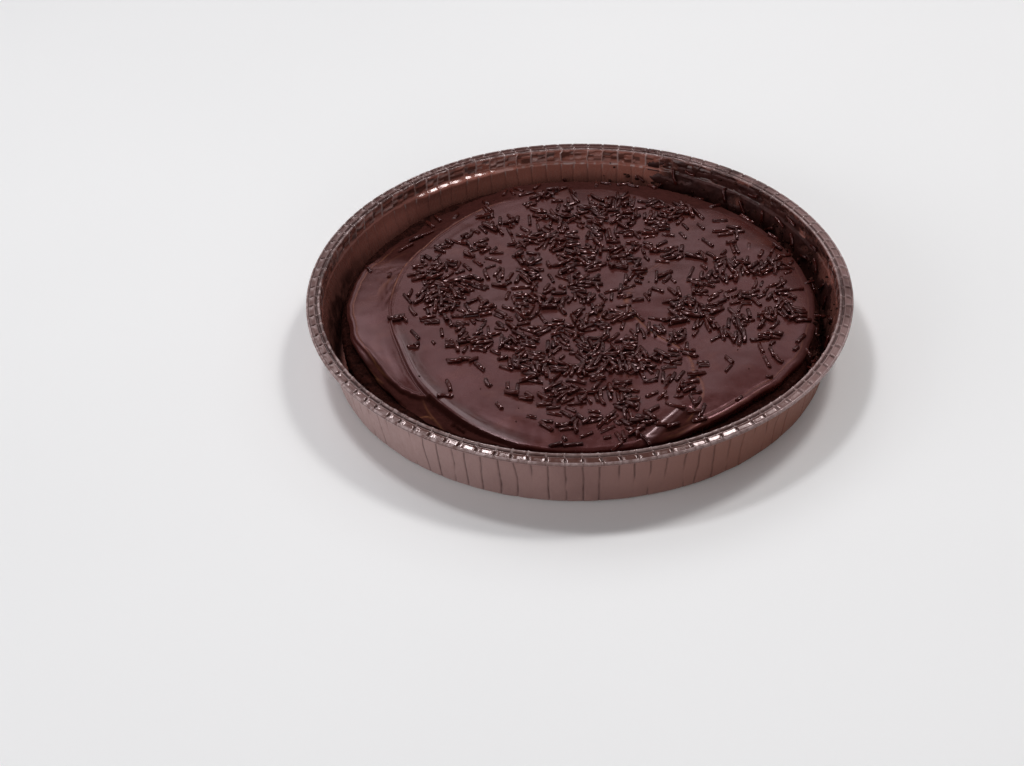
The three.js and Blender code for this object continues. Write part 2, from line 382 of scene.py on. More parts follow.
    # the ledge hangs in shallow scallops between the pleats; at the left it is pressed almost flat
    sag = rng.uniform(0.05, 0.30, PLEATS)
    z = z - coef("s") * sag[k] * mid
    r = r - coef("s") * 0.10 * mid
    bright = around({100: 0.0, 111: 0.8, 116: 1.0, 126: 1.0, 132: 0.0, 250: 0.0}, deg)
    z = z + bright * coef("s") * (0.40 * (base_z - 21.83) + 0.09 * vnoise(deg * 1.15, 0.4 + 0 * base_z, 24))
    r = r - bright * 0.40 * np.clip(103.98 - base_r, 0.0, 1.6) * np.where(base_z > 21.0, coef("s"), ease((base_z - 13.0) / 6.0) * np.minimum(1, coef("q")))
    pressed = around({0: 0.0, 30: 0.0, 60: 0.15, 84: 0.25, 100: 0.35, 107: 0.7, 113: 1.0, 127: 1.0, 132: 0.4, 139: 0.0, 230: 0.0, 260: 0.4, 300: 0.4, 330: 0.2}, deg)
    z = z - (1 - pressed) * coef("s") * 0.5
    r = r + (1 - pressed) * coef("l") * 0.85
    # smooth wall below the ledge
    r = r + coef("q") * (0.16 * bell(s, 0.3) * rng.uniform(0.3, 1.0, PLEATS)[owner] - 0.07 * mid)
    r = r + coef("q") * 0.10 * vnoise(deg / 2.7, base_z / 7.0, 23)
    r = np.minimum(r, RIM_R)
    z = np.maximum(z, 0.0)
    z = np.where(base_z <= 0.03, np.minimum(z, base_z), z)

    # marks that the material reads: painted shade in the creases, notches, grooves and between the crumples, and darker
    # patches on the bead at the left
    dark = np.clip(coef("c") * mask * bell(s, 0.32) * (0.70 + 0.45 * vnoise(base_z / 1.7, 0.5 + owner, 7)), 0, 1)
    dark = np.maximum(dark, 0.95 * coef("n") * bell(s + 0.08 * lapped, 0.27 + 0.28 * lw))
    dark = np.maximum(dark, 0.75 * lw * np.minimum(1, 1.5 * coef("k")) * ease((vnoise(deg * 0.9, 7.7 + 0 * base_r, 34) - 0.05) / 0.3))
    dark = np.maximum(dark, coef("d") * 0.85 * (1 - 0.8 * bell(s, 0.34)))
    dark = np.maximum(dark, 0.45 * coef("q") * bell(s - 0.35, 0.2))
    dark = np.maximum(dark, 0.75 * coef("b") * (hash01(panel, level, 0, 46) > 0.60) * ease((np.abs(s) - 0.15) / 0.3))
    # darker inside: real ganache smears at the back right and on the lip, painted shade low on the wall at the back and
    # over the inside at the left, and darker towards the bottom
    inside = within & (base_z > 1.0)
    zone = ease((deg - 2.0) / 14.0) * ease((69.5 - deg) / 6.0)
    zone = np.maximum(zone, 0.55 * ease((deg - 335.0) / 15.0) + 0.55 * (deg < 2.0))
    # painted shade low on the wall at the back
    zone = np.maximum(zone, 0.30 * ease((deg - 66.0) / 4.0) * ease((102.0 - deg) / 12.0) * ease((18.5 - base_z) / 3.0))
    blot = fbm(deg / 5.5, base_z / 5.5, 4, 27)
    low = ease((16.0 - base_z) / 7.0)
    stain = np.where(inside, zone * ease((blot + 0.75 + 0.30 * low) / 0.55), 0.0)
    # darker towards the bottom
    low_dark = ease((10.5 + 2.0 * fbm(deg / 7.0, 0.2 + 0 * base_z, 3, 28) - base_z) / 2.5)
    stain = np.maximum(stain, np.where(inside, 0.8 * low_dark, 0.0))
    # painted shade over the inside at the left, deeper towards the bottom
    left_shade = ease((deg - 140) / 25) * ease((262 - deg) / 25)
    stain = np.maximum(stain, np.where(inside, left_shade * (0.42 + 0.58 * ease((18.5 - base_z) / 7.0)), 0.0))
    lip_spot = (~within) & (~outside)
    stain = np.maximum(stain, np.where(lip_spot, 0.85 * zone * ease((deg - 32) / 14) * ease((blot + 0.30) / 0.35), 0.0))
    # lighter marks: crests where the paper is worn lighter, painted highlights on the raised cell ends, the crumples
    # and the ledge, and lighter lines on the knots, cross bars and folds
    worn = coef("w") * (0.62 - 0.12 * lw + (0.38 + 0.45 * lw) * vnoise(deg * 1.9, base_r * 0.4, 33))
    worn = worn * (1 - 0.55 * coef("o") * bell(s, 0.26))
    # painted highlight on the raised end of each cell
    worn = np.maximum(worn, coef("e") * np.clip(1.35 * bell(arc_s, 0.26 + 0.24 * lw) * lapped, 0, 1))
    worn = np.maximum(worn, np.minimum(1, coef("k") * 1.3) * knot[owner] * 3.2 * bell(s, 0.30))
    worn = np.maximum(worn, coef("x") * 0.6 * bell(s, 0.24))
    worn = np.maximum(worn, coef("f") * 1.1 * fold_on[owner] * bell(s, 0.26))
    # painted highlight streaks on the crumples
    streak = np.where(hash01(panel, level, 0, 45) > 0.66, 0.55, 0.0) * coef("b") * around({80: 0.3, 100: 1.0, 150: 1.0, 175: 0.3, 360: 0.1}, deg)
    worn = np.maximum(worn, streak * ease((np.abs(s) - 0.2) / 0.4))
    worn = np.maximum(worn, coef("q") * ease((base_z - 17.0) / 4.0) * 0.55 * (fold_on[owner] > 0.5) * bell(s, 0.24))
    cross = around({-64: 0.0, -46: 0.7, -12: 0.9, 45: 0.8, 62: 1.0, 150: 1.0, 164: 0.5, 182: 0.0, 230: 0.0}, deg) * np.where(owner % 2 == 0, 1.0, around({-64: 0.35, -46: 0.85, 20: 0.85, 40: 0.35, 230: 0.35}, deg)) * (owner % 7 != 3)
    over = np.clip(coef("o") + coef("e") + coef("x") + coef("k") + coef("d"), 0, 1) * cross
    dark = dark * (1 - over * bell(s, 0.50))
    worn = np.maximum(worn, over * 1.25 * bell(s, 0.36))
    worn = np.maximum(worn, 1.15 * coef("f") * cross * bell(s, 0.34))
    # painted highlight dashes below the ledge
    tick = around({70: 0.0, 84: 1.0, 132: 1.0, 150: 0.3, 165: 0.0, 360: 0.0}, deg) * (hash01(owner, 5, 0, 47) > 0.45)
    worn = np.maximum(worn, coef("q") * tick * ease((base_z - 17.5 - 1.5 * hash01(owner, 9, 0, 48)) / 1.5) * bell(s, 0.26))
    # painted highlight dashes along the ledge
    dash = around({60: 0.0, 67: 0.0, 69: 1.0, 84: 1.0, 104: 0.5, 112: 0.0, 360: 0.0}, deg)
    worn = np.maximum(worn, 1.1 * dash * coef("s") * bell(base_z - 21.55, 0.4) * ease((vnoise(deg * 0.95, 3.3 + 0 * base_z, 49) + 0.10) / 0.25))
    worn = worn * (1 - 0.75 * np.where(lip_spot, zone * ease((deg - 36) / 14), 0.0) - 0.6 * np.where(inside, zone, 0.0))

    x = r * np.cos(a)
    y = r * np.sin(a)
    steps = PLEATS * per
    verts = np.stack([x, y, z], -1).reshape(-1, 3)
    low_i, high_i = len(verts), len(verts) + 1
    verts = np.vstack([verts, [0, 0, 0.0], [0, 0, 0.7]])
    ones = np.ones((n_rows, steps))

    def att(v, ends=0.0):
        return np.concatenate([(v * ones).reshape(-1), [ends, ends]])

    obj = mesh_object("case_pressed_paper", verts, ring_faces(n_rows, steps, low_i, high_i),
                      attributes={"crease": att(dark), "gloss": att(gloss, 0.6), "stain": att(stain), "worn": att(np.clip(worn, 0, 1)),
                                  "outer": att(outside.astype(float)), "lip": att(((~within) & (~outside)).astype(float))})
    return obj


# ---------------------------------------------------------------------------
# cake
# ---------------------------------------------------------------------------
def cake_r(a):
    return 97.5 + 0.35 * np.cos(3 * a + 0.4) + 0.3 * np.cos(5 * a - 1.3) + 0.2 * np.cos(11 * a)


def build_cake():
    steps = 1400
    a = (np.arange(steps) / steps * TAU)[None, :]
    prof = [(60, 1.0), (90, 1.0), (94.0, 1.0), (95.0, 1.25), (95.55, 1.9), (95.8, 2.7)]
    for z in np.arange(3.6, 12.0, 0.85):
        prof.append((95.8 + (z - 2.7) * 0.173, float(z)))
    for q in np.linspace(0, 1, 9):
        ang = q * math.pi / 2
        prof.append((97.5 - 2.9 * (1 - math.cos(ang)), 12.3 + 3.1 * math.sin(ang)))
    for rr in (94.0, 93.3, 92.5, 91.6, 90.6, 89.4, 88.0, 84.0, 70.0, 30.0):
        prof.append((rr, 15.4))
    prof = np.array(prof)
    base_r, base_z = prof[:, 0][:, None], prof[:, 1][:, None]
    wave = (cake_r(a) - 97.5)
    r = base_r + wave * ease((base_r - 80) / 15) + 0 * a
    z = base_z + 0 * a
    x, y = r * np.cos(a), r * np.sin(a)
    n1 = vnoise3(x / 3.9, y / 3.9, z / 3.0, 41)
    n2 = vnoise3(x / 1.55, y / 1.55, z / 1.4, 42)
    n3 = vnoise3(x / 0.8, y / 0.8, z / 0.8, 43)
    rough = 0.35 * n1 + 0.30 * n2 + 0.16 * n3
    pits = -0.75 * ease((n2 - 0.35) / 0.4) - 0.4 * ease((n3 - 0.5) / 0.3)
    side = ease((base_r - 89.0) / 4.0) * (base_z > 1.05)
    d = (rough + pits) * side
    nx = np.where(base_z > 12.2, (base_r - 94.6) / 2.9, 1.0)
    nx = np.clip(nx, 0.0, 1.0)
    nz = np.sqrt(np.maximum(0, 1 - nx ** 2))
    r = r + d * nx
    z = z + d * nz * (base_z > 12.2)
    z = np.where(base_z > 12.2, np.minimum(z, 15.75), z)
    r = np.minimum(r, wall_in_r(np.maximum(z, 3.0)) - 0.6)
    verts = np.stack([r * np.cos(a), r * np.sin(a), z], -1).reshape(-1, 3)
    low_i, high_i = len(verts), len(verts) + 1
    verts = np.vstack([verts, [0, 0, 1.0], [0, 0, 15.4]])
    # painted shade in the pits
    pit = np.concatenate([np.clip(-(pits * side) - 0.2 * rough, 0, 1).reshape(-1), [0, 0]])
    return mesh_object("cake_porous", verts, ring_faces(len(prof), steps, low_i, high_i), attributes={"pit": pit})


# ---------------------------------------------------------------------------
# ganache
# ---------------------------------------------------------------------------
EDGE = {-170: 93.6, -160: 91.9, -150: 91.6, -140: 91.8, -130: 91.8, -115: 92.6, -100: 92.8, -85: 92.6, -70: 91.4,
        -58: 90.6, -46: 91.0, -35: 93.6, -22: 95.3, -8: 95.8, 10: 95.6, 25: 95.2, 40: 94.6, 55: 93.8, 72: 93.2,
        90: 93.0, 105: 93.4, 115: 93.0, 124: 91.2, 131: 92.2, 139: 90.2, 147: 91.9, 155: 92.4, 165: 93.9, 178: 94.5}
# where the flat of the left shelf ends, outside the long ridge
SHELF_EDGE = {120: 0.9, 150: 1.0, 168: 1.2, 178: 1.4, 186: 1.5, 193: 1.9, 199: 2.8, 206: 3.4, 212: 3.0, 216: 3.6, 219: 4.6, 221: 6.0, 223: 8.2,
              225: 10.5, 232: 9.0, 238: 7.0, 244: 5.0, 250: 3.0, 256: 1.6, 275: 1.2, 300: 1.4, 340: 1.2, 360: 1.0}
RIDGE = curve_through([(-24, 75), (-32, 72.6), (-41, 66.8), (-50, 58.2), (-57.6, 49.4), (-62.6, 42), (-67, 35.6),
                       (-71, 27.8), (-73.8, 19.2), (-75.6, 10), (-76.6, 0), (-76, -9), (-74.4, -18), (-72, -27),
                       (-69.2, -37), (-65.9, -46), (-62.2, -53.4), (-57.2, -61.4), (-52, -68), (-47.2, -73.6),
                       (-40.6, -79.6), (-33, -84.8), (-25, -89), (-16, -91.6)])
SWEEP = curve_through([(41, 27), (31, 19), (24.6, 10.4), (20.2, 1), (19.4, -6), (21.6, -12), (24.6, -18.6), (28.4, -25),
                       (33, -30), (37.6, -34.6), (40.6, -39.6), (42, -46), (42, -51), (43.8, -55), (44.8, -60),
                       (44, -66), (41.8, -70.6), (38.4, -76), (34, -81.4), (28, -87)])
SHORT = curve_through([(4.6, -3.2), (6.4, -8), (9.4, -15.6)])
BACK = curve_through([(0.5, 56.6), (4, 59), (8, 58.6), (12, 55), (16, 52)])
FAN1 = curve_through([(-73.6, 20), (-77, 13), (-79.6, 7), (-81.2, 1)])
FAN2 = curve_through([(-72.6, 25.6), (-76.6, 20), (-79.4, 12), (-80.8, 6)])
FAN3 = curve_through([(-73.0, 13.6), (-76.0, 8), (-78.0, 2.4), (-79.0, -3)])
FAN4 = curve_through([(-75.4, 22.6), (-79.4, 15.6), (-82, 8.4)])
RIM_STEP = curve_through([(-88.6, 30.6), (-84.6, 33.6), (-79.6, 33.4), (-74, 37.6), (-69.4, 38.6)])
TAIL = curve_through([(-62.6, -57.6), (-60.8, -63), (-58.2, -68.4), (-55, -74), (-53.6, -78)])
TAG = curve_through([(-64.6, -66.4), (-61.6, -65.6), (-58.6, -68)])
TAG2 = curve_through([(-84.4, -37), (-81.6, -42.4), (-78.2, -47)])
HOLLOW = curve_through([(-51.6, -71.6), (-49.4, -75), (-46.8, -78.2)])
POCKET = curve_through([(40.6, -72), (36.4, -77.4), (31.6, -82.6), (28, -87)])
BAND = curve_through([(36.4, -69.6), (32, -74.6), (27.4, -79.4), (23, -84.4), (19, -88)])


def edge_r(a):
    deg = np.degrees(a)
    lumps = 0.35 * vnoise(np.cos(a) * 9.0 + 20, np.sin(a) * 9.0 + 20, 51) + 0.22 * vnoise(np.cos(a) * 24 + 40, np.sin(a) * 24 + 40, 52)
    ragged = ease((deg % 360 - 98) / 12) * ease((158 - deg % 360) / 8) + 0.6 * ease((deg % 360 - 203) / 8) * ease((238 - deg % 360) / 8)
    lumps2 = ragged * 0.7 * vnoise(deg / 2.6, 0.5 + 0 * deg, 53)
    return around(EDGE, deg) + lumps + lumps2


_ridge_deg = np.degrees(np.arctan2(RIDGE[:, 1], RIDGE[:, 0])) % 360.0
_ridge_rad = np.hypot(RIDGE[:, 0], RIDGE[:, 1])


def ridge_r(deg):
    """Radius of the long ridge, carried on smoothly where there is none."""
    deg = np.asarray(deg, float) % 360.0
    on = np.interp(deg, _ridge_deg, _ridge_rad)
    blend = ease((deg - 84) / 22) * ease((286 - deg) / 24)
    return on * blend + 84.0 * (1 - blend)


def ganache_top(x, y):
    """Height of the spread layer, how rough it is there (a mask that also carries painted shade), and where thin crests
    show lighter.
    """
    shape = np.shape(x)
    x = np.asarray(x, float).reshape(-1)
    y = np.asarray(y, float).reshape(-1)
    r = np.hypot(x, y)
    a = np.arctan2(y, x)
    deg = np.degrees(a) % 360.0
    d = np.maximum(0.0, edge_r(a) - r)
    crest = np.zeros(len(x))
    s, u = to_line(RIDGE, x, y)
    beyond = ease(s / 0.8) * (u > 0.001) * (u < 0.999)
    # the layer falls towards the edge; the left shelf stays flat nearly to its end
    shelf = ease((deg - 150) / 12) * ease((226 - deg) / 9)
    fall = 3.0 * (1 - np.clip(d / 16.0, 0, 1)) ** 2
    fall_shelf = 1.2 * (1 - np.clip(d / 18.0, 0, 1)) ** 1.8
    fall = fall * (1 - shelf) + fall_shelf * shelf
    fall = fall * around({200: 1.0, 226: 0.95, 238: 0.62, 252: 0.50, 264: 0.56, 276: 0.62, 290: 0.55, 312: 0.50, 330: 0.70, 350: 1.0}, deg)
    h = 21.0 - fall
    # lower left: outside the shelf the layer is smeared down to the cake
    w = around(SHELF_EDGE, deg)
    drop = around({150: 0.2, 172: 0.5, 190: 0.9, 200: 1.5, 212: 1.9, 222: 2.0, 232: 1.7, 245: 1.0, 258: 0.3, 300: 0.2, 360: 0.2}, deg)
    past = w - d
    h = h - drop * (0.72 * ease(past / 0.9) + 0.28 * np.clip(past / np.maximum(w, 0.8), 0, 1)) * np.where(deg < 262, ease((s + 0.2) / 0.6), 1.0)
    lip = around({140: 0.0, 165: 0.16, 190: 0.22, 205: 0.30, 219: 0.30, 224: 0.0, 300: 0.10, 330: 0.14, 345: 0.0}, deg)
    h = h + lip * bell(past + 0.8, 0.55)
    # long ridge: a thin torn lip at the back and left, a broad raised band with a sharp outer side at the front
    ends = ease(u / 0.06) * ease((1 - u) / 0.04)
    low = ease((u - 0.47) / 0.12)
    upper = 1 - low
    frail = 0.72 + 0.28 * vnoise(u * 60.0, 0.4 + 0 * u, 57)
    h = h + ends * upper * frail * (0.36 - 0.20 * ease((0.34 - u) / 0.12)) * np.where(s < 0, bell(s, 0.34), 1.0 - ease(s / 0.7))
    h = h - ends * upper * (0.24 - 0.14 * ease((0.34 - u) / 0.12)) * bell(s + 1.05, 0.42)
    patchy = 0.45 + 0.45 * vnoise(u * 95.0, 2.4 + 0 * u, 70)
    crest = np.maximum(crest, ends * upper * patchy * bell(s - 0.05, 0.34) * ease((0.46 - u) / 0.1))
    band = np.interp(s, [-8.5, -6.8, -5.2, -3.9, -3.0, -2.4, -1.8, -1.2, -0.4, 0.0, 0.35], [0.0, 0.03, 0.125, 0.265, 0.38, 0.41, 0.38, 0.27, 0.09, 0.0, -0.02])
    h = h + ends * low * (1.05 - 0.50 * ease((u - 0.76) / 0.12)) * band
    h = h - ends * low * 0.12 * bell(s + 5.6, 3.4)
    h = h + ends * low * 0.05 * (bell(s + 1.0, 0.35) - bell(s + 1.7, 0.35)) * (1 - ease((u - 0.80) / 0.08))
    h = h - ends * low * 0.36 * bell(s - 0.85, 0.45)
    pale = ends * low * ease((0.98 - u) / 0.05) * bell(s + 2.6, 2.6)
    step = around({108: 0.35, 140: 0.5, 156: 0.4, 166: 0.22, 180: 0.25, 200: 0.55, 212: 0.9, 222: 1.3, 236: 1.2, 250: 0.6, 260: 0.2}, deg)
    h = h - ends * step * ease(s / 0.8) * (s > 0)
    tilt = 0.095 * ease((deg - 100) / 10) * ease((160 - deg) / 10)
    h = h - ends * tilt * np.clip(s, 0, 16)
    # fine marks beside it
    furrow_shade = np.zeros(len(x))
    for line, amp, width, light in ((FAN1, -0.40, 0.80, 0.0), (FAN2, -0.34, 0.75, 0.0), (FAN3, -0.30, 0.70, 0.0), (FAN4, 0.22, 0.7, 0.3), (SHORT, 0.18, 0.40, 0.3), (BACK, 0.18, 0.45, 0.3),
                                    (RIM_STEP, 0.22, 0.7, 0.1), (TAIL, 0.42, 0.38, 0.35), (TAG, 0.32, 0.40, 0.5), (TAG2, 0.34, 0.42, 0.4)):
        q, v = to_line(line, x, y)
        m = bell(q, width) * np.sin(np.pi * np.clip(v, 0.03, 0.97)) ** 0.6
        h = h + amp * m
        crest = np.maximum(crest, light * m)
        if light == 0.0:
            furrow_shade = np.maximum(furrow_shade, bell(q, 0.55) * np.sin(np.pi * np.clip(v, 0.03, 0.97)) ** 0.6)
    q, v = to_line(RIM_STEP, x, y)
    h = h - 0.35 * ease(-q / 1.4) * (np.abs(q) < 14) * ease((14 - np.abs(q)) / 8) * ease((deg - 118) / 12) * ease((170 - deg) / 8)
    q, v = to_line(HOLLOW, x, y)
    h = h - 2.4 * bell(q, 0.8) * ease(np.sin(np.pi * v) * 2.2)
    # second stroke: a thin crest, then a fold with a raised lip and lower ground to its right
    q, v = to_line(SWEEP, x, y)
    q = -q
    line_on = ease(v / 0.08) * (0.30 + 0.70 * ease((v - 0.22) / 0.06)) * ease((0.98 - v) / 0.05)
    thin = line_on * (1 - ease((v - 0.66) / 0.08))
    h = h + thin * 0.30 * np.where(q > 0, bell(q, 0.38), bell(q, 1.2))
    h = h - thin * 0.15 * bell(q - 0.9, 0.5)
    crest = np.maximum(crest, 0.55 * thin * bell(q, 0.38))
    q3, v3 = to_line(BAND, x, y)
    q3 = -q3
    f3 = ease(v3 / 0.16) * ease((1.0 - v3) / 0.10 + 0.25)
    h = h + 0.18 * f3 * np.where(q3 > 0, bell(q3, 2.6), bell(q3, 4.0))
    pale = np.maximum(pale, 0.7 * f3 * bell(q3, 2.5) * (y < -58))
    lower = 0.60 * ease((v - 0.50) / 0.28) * ease((v3 + 0.0) / 0.05 + 0.2)
    h = h - np.where(q3 > 0, lower * ease(q3 / 8.0) * np.exp(-q3 / 22.0), 0.0) * ease((26 - q3) / 10) * (y < -50) * (x < 66)
    pocket = ease((q3 + 0.6) / 3.6) * ease((11.0 - q3) / 4.0) * ease(v3 / 0.12) * (y < -58)
    h = h - 0.85 * pocket
    h = h + 0.12 * ease((v - 0.60) / 0.1) * ease((0.99 - v) / 0.04) * bell(q, 0.55)
    h = h - 0.24 * ease((v - 0.60) / 0.1) * ease((0.99 - v) / 0.04) * bell(q + 1.3, 0.7)
    crest = np.maximum(crest, 0.35 * ease((v - 0.58) / 0.05) * ease((0.92 - v) / 0.05) * bell(q, 0.42))
    # slow waves of the spatula along its stroke, fine streaks near the ridge, and the torn zones, rough, matte and
    # darker; in the furrows, the pocket and at the right edge the darkening is painted shade, along the back edge a
    # painted dark reflection of the wall
    turn = np.hypot(x - 11, y + 9)
    way = np.arctan2(y + 9, x - 11)
    cw, sw = np.cos(way), np.sin(way)
    calm = ease(d / 10)
    h = h + 0.36 * vnoise3(turn / 13.0 + 5.0, cw * 2.1, sw * 2.1, 60) * calm * ease(turn / 20)
    h = h + 0.26 * fbm(x / 17.0, y / 17.0, 2, 61) * calm
    h = h + 0.075 * vnoise(x / 6.5 + 3.0, y / 6.5 - 8.0, 68) * calm
    streak = vnoise3(turn / 1.9, cw * 3.0, sw * 3.0, 62) + 0.5 * vnoise3(turn / 0.9, cw * 4.0 + 9, sw * 4.0, 65)
    h = h + 0.040 * streak * ease((np.abs(s) - 0.5) / 4) * ease((16 - np.abs(s)) / 8)
    torn = ease((deg - 101) / 9) * ease((160 - deg) / 7) * ease(s / 1.5) * (s > 0)
    torn = np.maximum(torn, ease((deg - 196) / 8) * ease((256 - deg) / 8) * ease((past + 0.9) / 0.9) * (s > -0.2))
    # painted shade in the pocket
    torn = np.maximum(torn, pocket * ease((q3 - 0.8) / 2.0))
    # painted shade in the furrows
    torn = np.maximum(torn, 0.85 * furrow_shade)
    # painted dark reflection of the wall along the back edge
    back_band = around({30: 3.0, 44: 7.6, 52: 12.4, 61: 15.6, 70: 14.0, 80: 11.0, 90: 11.6, 104: 10.0, 116: 6.0}, deg) + 0.5 * vnoise(deg / 2.2, 0.7 + 0 * deg, 69)
    torn = np.maximum(torn, 0.96 * ease((deg - 34) / 10) * ease((118 - deg) / 8) * ease((back_band - d) / 1.8))
    # painted shade along the right edge
    torn = np.maximum(torn, 0.75 * ease((deg - 327) / 9) * ease((4.6 - d) / 2.6))
    torn = np.maximum(torn, 0.75 * (deg < 40) * ease((4.6 - d) / 2.6))
    h = h + torn * (0.24 * fbm(x / 3.1 + y / 9.0, y / 3.1, 4, 63) + 0.12 * fbm(x / 1.1, y / 1.1, 2, 64))
    wrinkle = ease((deg - 104) / 9) * ease((166 - deg) / 9) * ease(s / 1.0) * (s > 0)
    h = h + wrinkle * 0.46 * fbm((x * 0.80 + y * 0.60) / 5.0, (y * 0.80 - x * 0.60) / 1.7, 3, 67)
    # a thin lighter line where the layer ends at the front right
    crest = np.maximum(crest, 0.30 * ease((deg - 286) / 6) * ease((322 - deg) / 6) * bell(d - 0.9, 0.4) * (0.6 + 0.4 * vnoise(deg / 1.7, 0.1 + 0 * deg, 58)))
    # the left shelf rises a little towards the front
    flat = ease((deg - 150) / 10) * ease((222 - deg) / 10) * ease((s - 0.5) / 3.0)
    h = h - 0.014 * flat * (y + 6.0)
    # rounded rim, with a low bead along it at the left and the right
    bead = around({0: 0.5, 30: 0.3, 60: 0.0, 140: 0.0, 156: 1.0, 206: 1.0, 216: 0.0, 280: 0.0, 292: 0.5, 330: 0.8}, deg)
    h = h + bead * (0.24 * bell(d - 1.25, 0.85) - 0.12 * bell(d - 3.0, 0.55))
    crest = np.maximum(crest, 0.42 * ease(bead - 0.2) * bell(d - 2.9, 0.26))
    rim = around({0: 0.9, 60: 1.1, 90: 1.5, 130: 1.2, 160: 0.8, 220: 0.8, 330: 0.8}, deg)
    t = np.clip((rim - d) / rim, 0, 1)
    h = h - (rim * 0.85) * (1 - np.sqrt(np.maximum(0, 1 - t * t)))
    h = np.maximum(h, 15.75)
    return h.reshape(shape), torn.reshape(shape), np.clip(crest, 0, 1).reshape(shape), pale.reshape(shape)


def build_ganache():
    steps = 880
    # more steps where the strokes are
    f = np.linspace(0, 1, 4001)
    ang = f * 360.0
    weight = 1.0 + 0.8 * ease((ang - 110) / 15) * ease((262 - ang) / 15) + 0.6 * ease((ang - 285) / 15) * ease((335 - ang) / 15)
    cum = np.concatenate([[0], np.cumsum(0.5 * (weight[1:] + weight[:-1]))])
    cum = cum / cum[-1]
    a = np.interp(np.arange(steps) / steps, cum, f) * TAU
    e = edge_r(a)
    rho = np.minimum(ridge_r(np.degrees(a)), e - 3.4)
    mid_r = np.maximum(rho + 1.9, e - 3.7)
    near_r = np.maximum(mid_r + 0.2, e - 2.2)
    cuts = [(0.02 * e, rho - 9.0, 50), (rho - 9.0, rho - 2.0, 12), (rho - 2.0, rho + 1.6, 16), (rho + 1.6, mid_r, 12),
            (mid_r, near_r, 6), (near_r, e - 1.0, 3)]
    radii = []
    for lo_r, hi_r, n in cuts:
        hi_r = np.minimum(hi_r, e - 1.0)
        for k in range(n):
            radii.append(lo_r + (hi_r - lo_r) * (k / n))
    for back in (1.0, 0.72, 0.48, 0.28, 0.13, 0.04, 0.0):
        radii.append(e - back)
    rr = np.maximum.accumulate(np.array(radii), axis=0)
    x, y = rr * np.cos(a)[None, :], rr * np.sin(a)[None, :]
    h, torn, crest, pale = ganache_top(x, y)
    rings, marks, crests, pales = [], [], [], []
    under = 15.38
    zero = np.zeros(steps)
    for inset, z in ((9.0, under), (2.6, under), (1.1, under)):
        rx = (e - inset)
        rings.append(np.stack([rx * np.cos(a), rx * np.sin(a), np.full(steps, z)], -1))
        marks.append(zero); crests.append(zero); pales.append(zero)
    rx = e - 0.25
    rings.append(np.stack([rx * np.cos(a), rx * np.sin(a), np.full(steps, 15.5)], -1))
    marks.append(torn[-1]); crests.append(zero); pales.append(zero)
    for i in range(len(rr) - 1, -1, -1):
        rings.append(np.stack([x[i], y[i], h[i]], -1)); marks.append(torn[i]); crests.append(crest[i]); pales.append(pale[i])
    verts = np.concatenate(rings)
    n = len(rings)
    low_i, high_i = len(verts), len(verts) + 1
    h0 = ganache_top(np.array([0.0]), np.array([0.0]))[0]
    verts = np.vstack([verts, [0, 0, under], [0, 0, h0[0]]])
    ends = [np.array([0.0, 0.0])]
    return mesh_object("ganache_spread", verts, ring_faces(n, steps, low_i, high_i),
                       attributes={"torn": np.concatenate(marks + ends), "crest": np.concatenate(crests + ends), "pale": np.concatenate(pales + ends)})


